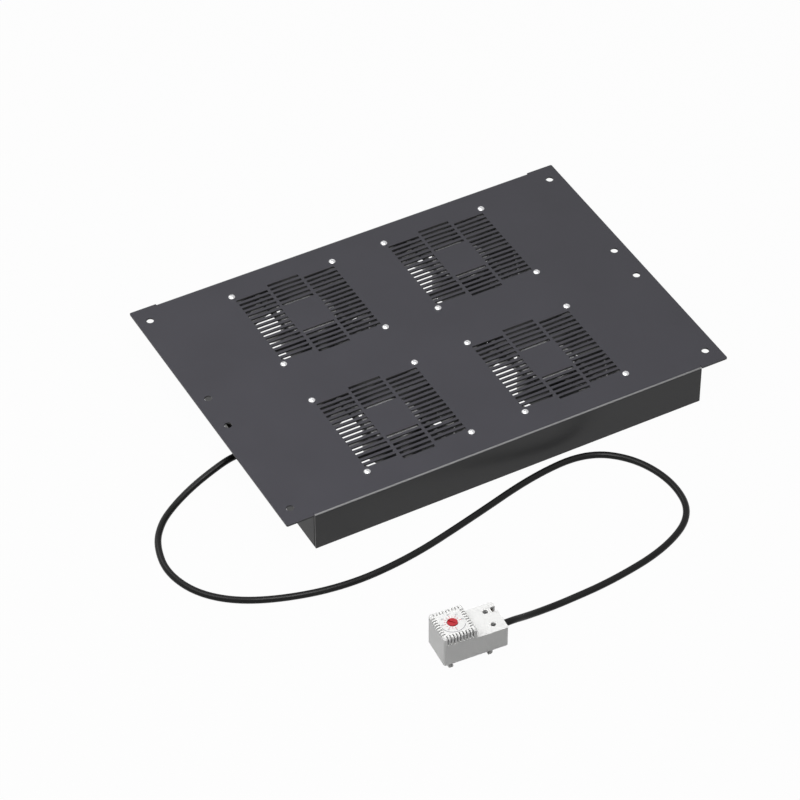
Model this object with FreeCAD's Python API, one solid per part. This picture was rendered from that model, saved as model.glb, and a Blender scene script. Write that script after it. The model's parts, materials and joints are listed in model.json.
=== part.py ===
import FreeCAD, Part
import math
import os
from FreeCAD import Placement, Rotation, Vector

# Rack fan tray: a folded steel tray under a slotted plate, four axial fans screwed beneath
# the plate, and a thermostat on a sheathed cable. Millimetres. The origin is the centre of
# the plate's top face, +X runs along the plate's long side, +Y to the back and +Z up.

# Tray sheet metal
plate_width = 450.0
plate_depth = 316.5
tray_height = 41.0
tray_box_width = 395.0
sheet = 1.5
bend_inner_radius = 1.0
relief_width = 0.5
relief_depth = 3.0
plate_corner_radius = 1.5
panel_flange = 14.0
panel_end_tab = 12.0
panel_bend_radius = 2.0

# Holes in the side flanges, for the rack or the cabinet roof
flange_hole_radius = 3.5
flange_hole_span_x = 425.0
flange_hole_span_y = 280.0
flange_mid_hole_span_y = 40.0

# Fans, two by two, with a bay for the wiring between them and each side panel's flange
wiring_bay = 44.0
fan_pitch_y = 160.0
fan_side = 119.0
fan_depth = 38.0
fan_hole_inset = 7.0
fan_flange = 4.5
fan_corner_radius = 5.0
duct_radius = 57.0
duct_wall = 1.8
mouth_radius = 65.5
mouth_depth = 14.0
hub_radius = 26.5
hub_plate_depth = 0.5
hub_plate_thickness = 2.5
strut_width = 4.0
strut_depth = 4.0
strut_offset = 26.5
strut_lean = 5.7
strut_rotor_gap = 1.0

# Motor inside the hub
shaft_radius = 1.5
bearing_clearance = 0.04
press_gap = 0.02
bearing_radius = 4.0
bearing_length = 18.0
bearing_tube_wall = 1.5
bearing_tube_end = 27.5
boss_gap = 1.5
shaft_under_cup_top = 0.5
cup_top = 6.0
cup_floor_thickness = 2.5
cup_wall = 2.0
cup_end = 35.0
rotor_radius = 26.0
stator_gap = 1.0
stator_top = 12.0
stator_stack = 14.0
pole_count = 4
pole_width = 9.0
pole_shoe = 3.0
pole_shoe_width = 28.0
coil_height = 3.5
coil_from_axis = 9.0

# Blades
blade_count = 5
blade_clearance = 1.0
blade_height = 26.0
blade_sweep = 0.62
blade_camber = 0.09
blade_thickness = 2.2
blade_edge = 0.7
blade_root_depth = 1.0
blade_root_inset = 5.0
blade_overrun = 3.0

# Each fan's impeller came to rest at its own angle, degrees
rest_angles = (24.0, 49.0, 25.0, 55.0)

# The right-hand fans are turned so that their leads come out into the cross channel, degrees
frame_turns = (0.0, -90.0, 0.0, 90.0)

# Grille slots over each fan
slot_length = 32.0
slot_width = 3.0
slot_pitch = 6.0
slot_column_pitch = 35.0
side_rows = 8
middle_first_row = 21.0
middle_rows = 6

# Fan screws
screw_radius = 2.0
screw_hole_radius = 2.25
screw_head_radius = 3.5
screw_head_height = 2.6
screw_crown_radius = 1.9
screw_length = 9.0
flange_bore_radius = 2.1

# Cable and its gland in the left side panel
cable_radius = 3.1
cable_clearance = 0.1
cable_bend_share = 0.45
gland_y = -37.5
gland_z = -22.0
gland_thread_radius = 6.0
gland_hole_clearance = 0.25
gland_hex = 15.0
gland_hex_length = 4.0
gland_dome_radius = 6.6
gland_dome_length = 9.0
gland_dome_lip = 1.4
gland_inner_length = 6.0
locknut_hex = 16.0
locknut_thickness = 3.0
sheath_beyond = 2.0

# Power inlet in the left side panel
inlet_y = 10.0
inlet_z = -21.5
inlet_flange_length = 50.0
inlet_flange_height = 23.0
inlet_flange_thickness = 3.0
inlet_flange_corner = 6.9
inlet_body_length = 28.0
inlet_body_height = 20.0
inlet_body_depth = 22.0
inlet_recess_length = 24.2
inlet_recess_height = 16.4
inlet_recess_corner = 4.5
inlet_recess_depth = 15.5
inlet_pin_pitch = 7.0
inlet_pin_rise = 4.0
inlet_pin_width = 2.0
inlet_pin_height = 4.0
inlet_pin_front = 5.0
inlet_tab_length = 8.0
inlet_screw_pitch = 40.0
inlet_screw_radius = 1.5
inlet_screw_head_radius = 2.8
inlet_screw_head_height = 1.6
inlet_screw_past_nut = 1.0
inlet_nut_hex = 5.5
inlet_nut_thickness = 2.4
fit_gap = 0.2

# Terminal block under the plate, in the left bay
block_gap = 7.5
block_y = -75.0
block_ways = 5
block_way_pitch = 10.0
block_way_gap = 2.0
block_width = 20.0
block_height = 15.0
block_strip_width = 10.0
stud_radius = 1.5
stud_length = 18.0
stud_nut_hex = 5.5
stud_nut_thickness = 2.4
earth_stud_gap = 20.5
earth_stud_y = 62.0
earth_stud_length = 11.0

# Leads inside the tray, at the height of the block's entries
lead_bend = 3.0
lead_insert = 3.0
core_size = 2.2
core_pitch = 2.6
core_lane = 4.5
core_lane_pitch = 4.0
twin_width = 3.4
twin_height = 1.8
twin_lane = 4.5
twin_exit = 54.1
twin_exit_y = -30.0
twin_channel_y = 5.0

# The way of the terminal block that each fan's lead goes to, and its lane beside the block
twin_ways = (1, 2, 4, 3)
twin_lanes = (2, 3, 1, 2)

# Thermostat, standing beside the tray on its rail clip
thermostat_x = -139.8
thermostat_y = -326.5
thermostat_turn = -4.0
case_length = 60.0
case_width = 33.0
case_wall = 1.8
case_corner_radius = 2.0
case_chamfer = 1.0
clip_height = 7.5
dial_part_length = 30.5
dial_part_height = 31.5
terminal_part_height = 21.5
vent_width = 1.2
vent_pitch = 2.9
vent_count = 9
vent_reach = 4.0
vent_drop = 8.0
end_vent_count = 8
end_vent_drop = 4.0
dial_x = -15.0
dial_radius = 4.5
dial_gap = 0.4
dial_above = 1.6
dial_skirt = 2.5
dial_slot_width = 1.4
dial_slot_depth = 1.0
dial_slot_reach = 2.7
spindle_radius = 2.0
spindle_length = 14.0
bush_radius = 4.5
bush_length = 5.0
carrier_thickness = 3.0
carrier_drop = 6.0
terminal_screw_x = 19.5
terminal_screw_y = 8.0
terminal_screw_radius = 2.1
terminal_screw_head = 2.0
terminal_screw_slot = 0.8
terminal_well_radius = 2.4
clamp_length = 8.0
clamp_width = 7.0
clamp_gap = 1.5
funnel_width = 6.0
funnel_depth = 5.0
funnel_drop = 7.0
cable_entry_y = -3.5
cable_entry_z = 20.5
base_plate_thickness = 2.0
bimetal_inset = 2.0
bimetal_width = 6.0
bimetal_thickness = 0.8
bimetal_rise = 3.0
rail_width = 35.0
rail_play = 0.5
rail_lip = 1.6
hook_centre_x = -4.0
hook_width = 27.0
hook_thickness = 2.6
hook_reach = 2.0
hook_lead_in = 0.6
hook_corner = 1.0

# Points of the cable's route, from the gland to the thermostat. It lies on the table.
cable_route = [
    (-210.5, -37.5, -22.0),
    (-219.5, -37.5, -22.0),
    (-239.0, -41.2, -25.2),
    (-262.0, -45.8, -31.2),
    (-285.0, -54.5, -36.6),
    (-304.0, -68.0, -37.9),
    (-319.5, -90.5, -37.9),
    (-326.5, -127.0, -37.9),
    (-311.0, -166.0, -37.9),
    (-272.0, -195.0, -37.9),
    (-204.0, -214.0, -37.9),
    (-135.0, -211.0, -37.9),
    (-62.0, -193.5, -37.9),
    (14.0, -173.0, -37.9),
    (70.0, -170.0, -37.9),
    (104.0, -197.0, -37.9),
    (119.0, -240.0, -37.9),
    (111.0, -283.0, -37.9),
    (68.0, -308.0, -37.9),
    (8.0, -319.0, -37.9),
    (-42.0, -321.0, -37.9),
    (-66.0, -322.5, -35.5),
    (-84.0, -326.5, -29.5),
    (-97.0, -331.0, -22.5),
    (-105.6, -332.4, -20.5),
    (-112.9, -331.9, -20.5),
]

# Heights and faces that several pieces share
plate_under = -sheet
tray_bottom = -tray_height
panel_x = -tray_box_width / 2
panel_inside = panel_x + sheet
bay_x = panel_x + panel_flange
skirt_inner_y = plate_depth / 2 - sheet
gland_face_x = panel_x - gland_hex_length
gland_tip_x = gland_face_x - gland_dome_length
gland_end_x = panel_inside + gland_inner_length
sheath_end_x = gland_end_x + sheath_beyond
inlet_face_x = panel_x - inlet_flange_thickness
block_x = bay_x + block_gap + block_width / 2
earth_stud_x = bay_x + earth_stud_gap
entry_z = plate_under - block_height / 2
fan_half = fan_side / 2
fan_hole_span = fan_side - 2 * fan_hole_inset
fan_x = bay_x + wiring_bay + fan_half
fan_y = fan_pitch_y / 2
fan_centres = [(fan_x, -fan_y), (-fan_x, -fan_y), (fan_x, fan_y), (-fan_x, fan_y)]
stator_radius = rotor_radius - cup_wall - stator_gap
case_left = -case_length / 2
case_step = case_left + dial_part_length
case_top = clip_height + dial_part_height
shelf_top = clip_height + terminal_part_height
base_top = clip_height + base_plate_thickness
clamp_top = shelf_top - case_wall - clamp_gap
dial_top = case_top + dial_above


def span_box(x0, x1, y0, y1, z0, z1):
    """A box between two corners."""
    return Part.makeBox(x1 - x0, y1 - y0, z1 - z0, Vector(x0, y0, z0))


def upright(radius, z0, z1, x=0.0, y=0.0):
    """A cylinder along Z between two heights."""
    return Part.makeCylinder(radius, z1 - z0, Vector(x, y, z0))


def along_x(radius, x0, x1, y, z):
    """A cylinder along X between two places."""
    return Part.makeCylinder(radius, x1 - x0, Vector(x0, y, z), Vector(1, 0, 0))


def hexagon(across_flats, centre, axis, thickness):
    """A hexagonal prism that starts at a centre and runs along an axis."""
    corner = across_flats / math.sqrt(3)
    turn = Rotation(Vector(0, 0, 1), axis)
    points = []
    for k in range(7):
        angle = math.radians(60 * k)
        points.append(centre + turn * Vector(corner * math.cos(angle), corner * math.sin(angle), 0))
    return Part.Face(Part.makePolygon(points)).extrude(axis * thickness)


def only_solid(shape):
    """The shape's solid itself, where a cut or a fusion wrapped it in a group."""
    return shape.Solids[0] if len(shape.Solids) == 1 else shape


def fused(shapes):
    """One solid from overlapping or touching shapes, without seams."""
    return only_solid(shapes[0].fuse(shapes[1:]).removeSplitter())


def cut_by(shape, cutters):
    """A shape less a list of cutters."""
    return only_solid(shape.cut(Part.makeCompound(cutters)))


def turned(shape, degrees, x=0.0, y=0.0):
    """A copy turned about the vertical through a place."""
    copy = shape.copy()
    copy.rotate(Vector(x, y, 0), Vector(0, 0, 1), degrees)
    return copy


def moved(shape, x, y, z=0.0):
    """A copy shifted to a place."""
    copy = shape.copy()
    copy.translate(Vector(x, y, z))
    return copy


def edges_where(shape, test):
    """The straight edges whose two end points both pass a test."""
    found = []
    for edge in shape.Edges:
        if len(edge.Vertexes) == 2 and all(test(v.Point) for v in edge.Vertexes):
            found.append(edge)
    return found


def vertical_edges(shape):
    """The straight edges that run along Z."""
    found = []
    for edge in shape.Edges:
        if len(edge.Vertexes) == 2:
            run = edge.Vertexes[1].Point - edge.Vertexes[0].Point
            if abs(run.x) + abs(run.y) < 1e-6:
                found.append(edge)
    return found


def rounded_path(points, radii):
    """A wire of straight runs joined by tangent arcs, one radius for each inner point."""
    corners = [Vector(*p) for p in points]
    edges = []
    start = corners[0]
    for before, corner, after, radius in zip(corners, corners[1:], corners[2:], radii):
        into = (corner - before).normalize()
        out = (after - corner).normalize()
        turn = into.getAngle(out)
        setback = radius * math.tan(turn / 2)
        first = corner - into * setback
        last = corner + out * setback
        inward = (out - into).normalize()
        middle = corner + inward * (radius / math.cos(turn / 2) - radius)
        edges.append(Part.LineSegment(start, first).toShape())
        edges.append(Part.Arc(first, middle, last).toShape())
        start = last
    edges.append(Part.LineSegment(start, corners[-1]).toShape())
    return Part.Wire(edges)


def tube_along(path, radius):
    """A round solid swept along a wire of lines and arcs."""
    start = path.Edges[0]
    direction = start.tangentAt(start.FirstParameter)
    ring = Part.Wire(Part.makeCircle(radius, start.valueAt(start.FirstParameter), direction))
    return path.makePipeShell([ring], True, False)


def save(name, shapes):
    """One STEP file for a node, which may hold several like solids."""
    group = shapes if isinstance(shapes, list) else [shapes]
    solids = [solid for shape in group for solid in shape.Solids]
    shape = solids[0] if len(solids) == 1 else Part.makeCompound(solids)
    shape.exportStep("parts/" + name + ".step")


def rectangle_places(span_x, span_y):
    """The four corners of a rectangle about the origin."""
    return [(sx * span_x / 2, sy * span_y / 2) for sx in (-1, 1) for sy in (-1, 1)]


def fan_screw_places():
    """The sixteen places where a fan screw passes through the plate."""
    return [(cx + dx, cy + dy) for cx, cy in fan_centres
            for dx, dy in rectangle_places(fan_hole_span, fan_hole_span)]


def slot_rows():
    """The (column, row) centres of one fan's grille slots, about the fan's axis."""
    outer = [slot_pitch * (k + 0.5) for k in range(side_rows)]
    middle = [middle_first_row + slot_pitch * k for k in range(middle_rows)]
    rows = [(0.0, side * y) for y in middle for side in (-1, 1)]
    for column in (-slot_column_pitch, slot_column_pitch):
        rows += [(column, side * y) for y in outer for side in (-1, 1)]
    return rows


# Tray


def tray_plate():
    """The plate with its front and back skirts bent down, slotted over each fan."""
    outer_radius = bend_inner_radius + sheet
    half = plate_depth / 2
    body = span_box(panel_x, -panel_x, -half, half, tray_bottom, 0)
    ends = edges_where(body, lambda p: abs(p.z) < 1e-6)
    long_ends = [e for e in ends if abs(e.Vertexes[0].Point.y - e.Vertexes[1].Point.y) < 1e-6]
    body = body.makeFillet(outer_radius, long_ends)
    hollow = span_box(panel_x - 1, -panel_x + 1, -skirt_inner_y, skirt_inner_y,
                      tray_bottom - 1, plate_under)
    top = edges_where(hollow, lambda p: abs(p.z - plate_under) < 1e-6)
    long_top = [e for e in top if abs(e.Vertexes[0].Point.y - e.Vertexes[1].Point.y) < 1e-6]
    body = body.cut(hollow.makeFillet(bend_inner_radius, long_top))
    cuts = []
    for side in (-1, 1):
        near, far = sorted((side * tray_box_width / 2, side * plate_width / 2))
        flange = span_box(near, far, -half, half, plate_under, 0)
        outside = [e for e in vertical_edges(flange)
                   if abs(abs(e.Vertexes[0].Point.x) - plate_width / 2) < 1e-6]
        body = body.fuse(flange.makeFillet(plate_corner_radius, outside))
        for end in (-1, 1):
            edge_x = side * (tray_box_width + relief_width) / 2
            relief = span_box(-relief_width / 2, relief_width / 2, -relief_depth, relief_depth,
                              plate_under - 1, 1)
            cuts.append(moved(relief, edge_x, end * half))
    body = only_solid(body.removeSplitter())
    for cx, cy in fan_centres:
        for column, row in slot_rows():
            x = cx + column
            y = cy + row
            cuts.append(span_box(x - slot_length / 2, x + slot_length / 2,
                                 y - slot_width / 2, y + slot_width / 2, plate_under - 1, 1))
    for x, y in fan_screw_places():
        cuts.append(upright(screw_hole_radius, plate_under - 1, 1, x, y))
    for x, y in (rectangle_places(flange_hole_span_x, flange_hole_span_y)
                 + rectangle_places(flange_hole_span_x, flange_mid_hole_span_y)):
        cuts.append(upright(flange_hole_radius, plate_under - 1, 1, x, y))
    return marked_off(cut_by(body, cuts))


def marked_off(plate):
    """The plate with its underside split along the outer faces of the side panels."""
    reach = plate_depth / 2 - relief_depth
    planes = []
    for x in (panel_x, -panel_x):
        outline = [Vector(x, -reach, plate_under), Vector(x, reach, plate_under),
                   Vector(x, reach, plate_under - sheet), Vector(x, -reach, plate_under - sheet),
                   Vector(x, -reach, plate_under)]
        planes.append(Part.Face(Part.makePolygon(outline)))
    return plate.generalFuse(planes)[0].Solids[0]


def side_panel():
    """The left side panel: a wall with a top flange and two end tabs, spot-welded to the tray."""
    inner_y = skirt_inner_y
    wall = span_box(panel_x, panel_x + sheet, -inner_y, inner_y, tray_bottom, plate_under)
    flange_end = inner_y - bend_inner_radius
    flange = span_box(panel_x, panel_x + panel_flange, -flange_end, flange_end,
                      plate_under - sheet, plate_under)
    pieces = [wall, flange]
    for end in (-1, 1):
        low, high = sorted((end * inner_y, end * (inner_y - sheet)))
        pieces.append(span_box(panel_x, panel_x + panel_end_tab, low, high,
                               tray_bottom, plate_under - sheet - bend_inner_radius))
    notches = []
    for end in (-1, 1):
        low, high = sorted((end * (inner_y - panel_bend_radius), end * (inner_y + 1)))
        notches.append(span_box(panel_x - 1, panel_x + panel_flange, low, high,
                                plate_under - sheet - bend_inner_radius, 0))
    panel = cut_by(fused(pieces), notches)
    corners = []
    for edge in vertical_edges(panel):
        foot = edge.Vertexes[0].Point
        if abs(foot.x - panel_x) < 1e-6 and abs(abs(foot.y) - inner_y) < 1e-6:
            corners.append(edge)
    return only_solid(panel.makeFillet(panel_bend_radius, corners))


def left_side_panel():
    """The left side panel with the holes for the gland and the power inlet."""
    outside = panel_x - 1
    inside = panel_inside + 1
    holes = [along_x(gland_thread_radius + gland_hole_clearance, outside, inside, gland_y, gland_z)]
    half_l = inlet_body_length / 2 + fit_gap
    half_h = inlet_body_height / 2 + fit_gap
    holes.append(span_box(outside, inside, inlet_y - half_l, inlet_y + half_l,
                          inlet_z - half_h, inlet_z + half_h))
    for y in inlet_screw_places():
        holes.append(along_x(inlet_screw_radius + fit_gap, outside, inside, y, inlet_z))
    return cut_by(side_panel(), holes)


# Fans. Each is built about its own axis with its top face at height 0, and then placed.


def placed_fan(shape, centre):
    """A fan piece moved from its own axis to its place beneath the plate."""
    return moved(shape, centre[0], centre[1], plate_under)


def fan_frame():
    """The cast frame: two square flanges round a duct, and the hub on four slanting struts."""
    square = span_box(-fan_half, fan_half, -fan_half, fan_half, -fan_depth, 0)
    square = square.makeFillet(fan_corner_radius, vertical_edges(square))
    outside = span_box(-fan_side, fan_side, -fan_side, fan_side,
                       fan_flange - fan_depth, -fan_flange)
    barrel = upright(duct_radius + duct_wall, fan_flange - fan_depth, -fan_flange)
    foot = Vector(0, 0, -mouth_depth)
    collar = Part.makeCone(duct_radius + duct_wall, mouth_radius + duct_wall, mouth_depth, foot)
    frame = square.cut(outside.cut(barrel.fuse(collar)))
    cuts = [upright(duct_radius, -fan_depth - 1, 1)]
    mouth = Part.makeCone(duct_radius, mouth_radius, mouth_depth, foot)
    limit = span_box(-duct_radius, duct_radius, -duct_radius, duct_radius, -mouth_depth, 0)
    cuts.append(mouth.common(limit))
    for x, y in rectangle_places(fan_hole_span, fan_hole_span):
        cuts.append(upright(flange_bore_radius, -fan_depth - 1, 1, x, y))
    cuts.append(twin_slot())
    frame = cut_by(frame, cuts)
    plate_top = -hub_plate_depth
    plate_low = plate_top - hub_plate_thickness
    hub = upright(hub_radius, plate_low, plate_top)
    strut = span_box(-strut_width / 2, strut_width / 2, 0, fan_half,
                     plate_top - strut_depth, plate_top)
    strut = moved(turned(strut, strut_lean), -strut_offset + strut_width / 2, 0)
    reach = duct_radius + duct_wall / 2
    within = span_box(-reach, reach, -reach, reach, -fan_depth, 0)
    clear = upright(rotor_radius + strut_rotor_gap, -fan_depth, plate_low)
    strut = strut.common(within).cut(clear)
    tube = upright(bearing_radius + bearing_tube_wall, -bearing_tube_end, plate_low)
    struts = [turned(strut, 90 * k) for k in range(4)]
    frame = fused([frame, hub, tube] + struts)
    return cut_by(frame, [upright(bearing_radius, -fan_depth, plate_low)])


def twin_slot():
    """The slot in the duct's wall where the fan's lead comes out, under a strut."""
    half_w = twin_width / 2 + fit_gap
    half_h = twin_height / 2 + fit_gap
    height = entry_z - plate_under
    return span_box(-fan_half, 2 * duct_wall - twin_exit, twin_exit_y - half_w,
                    twin_exit_y + half_w, height - half_h, height + half_h)


def blade_section(radius):
    """One blade's closed section at a radius: a cambered line with rounded thickness."""
    run = radius * blade_sweep / 2
    rise = blade_height / 2
    chord = math.hypot(run, rise) * 2
    along = Vector(0, run, rise).normalize()
    normal = Vector(0, -along.z, along.y)
    bow = -blade_camber * chord
    top = Vector(radius, run, rise)
    low = Vector(radius, -run, -rise)
    middle = Vector(radius, 0, 0) + normal * bow
    edge = normal * (blade_edge / 2)
    crown = normal * (blade_thickness / 2)
    front = Part.Arc(low + edge, middle + crown, top + edge).toShape()
    back = Part.Arc(top - edge, middle - crown, low - edge).toShape()
    top_end = Part.LineSegment(top + edge, top - edge).toShape()
    low_end = Part.LineSegment(low - edge, low + edge).toShape()
    return Part.Wire([front, top_end, back, low_end])


def impeller():
    """The rotor cup and its blades, open towards the hub plate."""
    cup = upright(rotor_radius, -cup_end, -cup_top)
    hollow = upright(rotor_radius - cup_wall, cup_floor_thickness - cup_end, -cup_top + 1)
    boss_end = -bearing_tube_end - boss_gap
    boss = upright(bearing_radius, cup_floor_thickness - cup_end, boss_end)
    middle = -(cup_top + cup_end) / 2
    tip = duct_radius - blade_clearance
    blade = Part.makeLoft([blade_section(rotor_radius - blade_root_inset),
                           blade_section(tip + blade_overrun)], True, True)
    blade.translate(Vector(0, 0, middle))
    ring = upright(tip, -fan_depth, 0).cut(upright(rotor_radius - blade_root_depth, -fan_depth, 0))
    blade = blade.common(ring)
    blades = [turned(blade, 360 * k / blade_count) for k in range(blade_count)]
    body = fused([cup.cut(hollow), boss] + blades)
    return body.cut(upright(shaft_radius + press_gap, -fan_depth, 0))


def shaft():
    """The rotor's shaft, pressed into the cup."""
    return upright(shaft_radius, -cup_end, -cup_top - shaft_under_cup_top)


def bearing():
    """The sleeve bearing in the hub's tube."""
    low = -bearing_tube_end
    sleeve = upright(bearing_radius - press_gap, low, low + bearing_length)
    return sleeve.cut(upright(shaft_radius + bearing_clearance, low - 1, low + bearing_length + 1))


def stator_core():
    """The laminated stack: poles with broad shoes, on the bearing tube."""
    low = -stator_top - stator_stack
    half_w = pole_shoe_width / 2
    arm = span_box(0, stator_radius, -pole_width / 2, pole_width / 2, low, -stator_top)
    shoe = span_box(stator_radius - pole_shoe, stator_radius, -half_w, half_w, low, -stator_top)
    pole = arm.fuse(shoe)
    poles = [turned(pole, 360 * k / pole_count) for k in range(pole_count)]
    core = fused(poles).common(upright(stator_radius, low, -stator_top))
    bore = bearing_radius + bearing_tube_wall + press_gap
    return cut_by(core, [upright(bore, low - 1, 0)])


def stator_coils():
    """One coil round each pole of the stack."""
    outer = stator_radius - pole_shoe - fit_gap
    low = -stator_top - stator_stack
    half = pole_width / 2
    coil = span_box(coil_from_axis, outer, -half - coil_height, half + coil_height,
                    low - coil_height, -stator_top + coil_height)
    pole = span_box(coil_from_axis - 1, outer + 1, -half - press_gap, half + press_gap,
                    low - press_gap, -stator_top + press_gap)
    ring = coil.cut(pole)
    return [turned(ring, 360 * k / pole_count) for k in range(pole_count)]


def fan_screws():
    """Domed screws that form their own thread in the top flange of each fan."""
    head = Part.makeCone(screw_head_radius, screw_crown_radius, screw_head_height)
    screw = fused([head, upright(screw_radius, -screw_length, 0)])
    return [moved(screw, x, y) for x, y in fan_screw_places()]


# Gland, power inlet and wiring


def gland_body():
    """The gland's threaded body with its hexagon against the panel."""
    outer = hexagon(gland_hex, Vector(gland_face_x, gland_y, gland_z), Vector(1, 0, 0),
                    gland_hex_length)
    thread = along_x(gland_thread_radius, panel_x, gland_end_x, gland_y, gland_z)
    bore = along_x(cable_radius + cable_clearance, gland_face_x - 1, gland_end_x + 1,
                   gland_y, gland_z)
    return fused([outer, thread]).cut(bore)


def gland_dome_nut():
    """The dome nut that squeezes the seal round the cable."""
    half = gland_dome_length / 2
    base = along_x(gland_dome_radius, gland_tip_x + half, gland_face_x, gland_y, gland_z)
    dome = Part.makeCone(cable_radius + gland_dome_lip, gland_dome_radius, half,
                         Vector(gland_tip_x, gland_y, gland_z), Vector(1, 0, 0))
    bore = along_x(cable_radius + cable_clearance, gland_tip_x - 1, gland_face_x + 1,
                   gland_y, gland_z)
    return fused([base, dome]).cut(bore)


def gland_locknut():
    """The hexagonal nut inside the panel."""
    nut = hexagon(locknut_hex, Vector(panel_inside, gland_y, gland_z), Vector(1, 0, 0),
                  locknut_thickness)
    hole = along_x(gland_thread_radius + press_gap, panel_inside - 1,
                   panel_inside + locknut_thickness + 1, gland_y, gland_z)
    return nut.cut(hole)


def cable_sheath_end():
    """The cable's held end, through the gland into the tray, where its sheath is stripped."""
    return along_x(cable_radius, gland_tip_x, sheath_end_x, gland_y, gland_z)


def inlet_screw_places():
    """The Y of the inlet's two screws."""
    return [inlet_y - inlet_screw_pitch / 2, inlet_y + inlet_screw_pitch / 2]


def inlet_body():
    """The appliance inlet: a flange outside the panel and a socket through it."""
    half_l = inlet_flange_length / 2
    half_h = inlet_flange_height / 2
    flange = span_box(inlet_face_x, panel_x, inlet_y - half_l, inlet_y + half_l,
                      inlet_z - half_h, inlet_z + half_h)
    ends = [e for e in flange.Edges if abs(e.Length - inlet_flange_thickness) < 1e-6]
    flange = flange.makeFillet(inlet_flange_corner, ends)
    body = span_box(panel_x, panel_x + inlet_body_depth,
                    inlet_y - inlet_body_length / 2, inlet_y + inlet_body_length / 2,
                    inlet_z - inlet_body_height / 2, inlet_z + inlet_body_height / 2)
    reach_y = inlet_recess_length / 2
    reach_z = inlet_recess_height / 2
    corner = inlet_recess_corner
    outline = [
        (-reach_y, -reach_z), (reach_y, -reach_z), (reach_y, reach_z - corner),
        (reach_y - corner, reach_z), (corner - reach_y, reach_z), (-reach_y, reach_z - corner),
        (-reach_y, -reach_z),
    ]
    points = [Vector(inlet_face_x - 1, inlet_y + y, inlet_z + z) for y, z in outline]
    cuts = [Part.Face(Part.makePolygon(points)).extrude(Vector(inlet_recess_depth + 1, 0, 0))]
    for y in inlet_screw_places():
        cuts.append(along_x(inlet_screw_radius + fit_gap, inlet_face_x - 1, panel_x + 1,
                            y, inlet_z))
    return cut_by(fused([flange, body]), cuts + inlet_pins())


def pin_place(k):
    """The (y, z) centre of an inlet pin: -1 and 1 are the sides and 0 is the earth pin."""
    y = inlet_y + k * inlet_pin_pitch
    return y, inlet_z + inlet_pin_rise / 2 - abs(k) * inlet_pin_rise


def inlet_pins():
    """Three flat pins that run through the inlet's floor to their tabs."""
    start = inlet_face_x + inlet_pin_front
    end = panel_x + inlet_body_depth + inlet_tab_length
    pins = []
    for k in (-1, 0, 1):
        y, z = pin_place(k)
        pins.append(span_box(start, end, y - inlet_pin_width / 2, y + inlet_pin_width / 2,
                             z - inlet_pin_height / 2, z + inlet_pin_height / 2))
    return pins


def inlet_screws():
    """Two screws through the inlet's flange and the panel."""
    end = panel_inside + inlet_nut_thickness + inlet_screw_past_nut
    screws = []
    for y in inlet_screw_places():
        head = Part.makeCone(inlet_screw_head_radius, inlet_screw_radius, inlet_screw_head_height,
                             Vector(inlet_face_x, y, inlet_z), Vector(-1, 0, 0))
        screws.append(fused([along_x(inlet_screw_radius, inlet_face_x, end, y, inlet_z), head]))
    return screws


def inlet_nuts():
    """The nuts behind the panel on the inlet's screws."""
    nuts = []
    for y in inlet_screw_places():
        nut = hexagon(inlet_nut_hex, Vector(panel_inside, y, inlet_z), Vector(1, 0, 0),
                      inlet_nut_thickness)
        hole = along_x(inlet_screw_radius + press_gap, panel_inside - 1,
                       panel_inside + inlet_nut_thickness + 1, y, inlet_z)
        nuts.append(nut.cut(hole))
    return nuts


def block_way_places():
    """The Y of each way of the terminal block."""
    first = block_y - (block_ways - 1) * block_way_pitch / 2
    return [first + block_way_pitch * k for k in range(block_ways)]


def block_stud_places():
    """The two studs that hold the terminal block, between its outer ways."""
    reach = (block_ways / 2 - 1) * block_way_pitch
    return [(block_x, block_y - reach), (block_x, block_y + reach)]


def terminal_block():
    """A row of joined terminal housings on the underside of the plate."""
    half_w = block_width / 2
    half_strip = block_strip_width / 2
    half_way = (block_way_pitch - block_way_gap) / 2
    low = plate_under - block_height
    ways = block_way_places()
    pieces = [span_box(block_x - half_strip, block_x + half_strip, ways[0], ways[-1],
                       entry_z, plate_under)]
    cuts = []
    for y in ways:
        pieces.append(span_box(block_x - half_w, block_x + half_w, y - half_way, y + half_way,
                               low, plate_under))
        cuts.append(span_box(block_x - half_w - 1, block_x + half_w + 1,
                             y - twin_width / 2 - fit_gap, y + twin_width / 2 + fit_gap,
                             entry_z - core_size / 2 - fit_gap, entry_z + core_size / 2 + fit_gap))
    for x, y in block_stud_places():
        cuts.append(upright(stud_radius + fit_gap, low - 1, 0, x, y))
    return cut_by(fused(pieces), cuts)


def weld_studs():
    """Studs welded under the plate: two for the terminal block and one for the earth lead."""
    studs = [upright(stud_radius, plate_under - stud_length, plate_under, x, y)
             for x, y in block_stud_places()]
    studs.append(upright(stud_radius, plate_under - earth_stud_length, plate_under,
                         earth_stud_x, earth_stud_y))
    return studs


def stud_nuts():
    """Nuts on the welded studs, against the terminal block and against the plate."""
    places = [(x, y, plate_under - block_height) for x, y in block_stud_places()]
    places.append((earth_stud_x, earth_stud_y, plate_under))
    nuts = []
    for x, y, top in places:
        nut = hexagon(stud_nut_hex, Vector(x, y, top), Vector(0, 0, -1), stud_nut_thickness)
        nuts.append(nut.cut(upright(stud_radius + press_gap, top - stud_nut_thickness - 1, top + 1,
                                    x, y)))
    return nuts


def lead(points, width, height):
    """One lead with a flat section, rounded at the corners of its route."""
    path = rounded_path(points, [lead_bend] * (len(points) - 2))
    start = Vector(*points[0])
    along = (Vector(*points[1]) - start).normalize()
    level = Vector(1, 0, 0) if abs(along.y) > abs(along.x) else Vector(0, 1, 0)
    across = level * (width / 2)
    over = along.cross(across).normalize() * (height / 2)
    corners = [start + across + over, start + across - over,
               start - across - over, start - across + over, start + across + over]
    return path.makePipeShell([Part.makePolygon(corners)], True, False)


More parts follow.
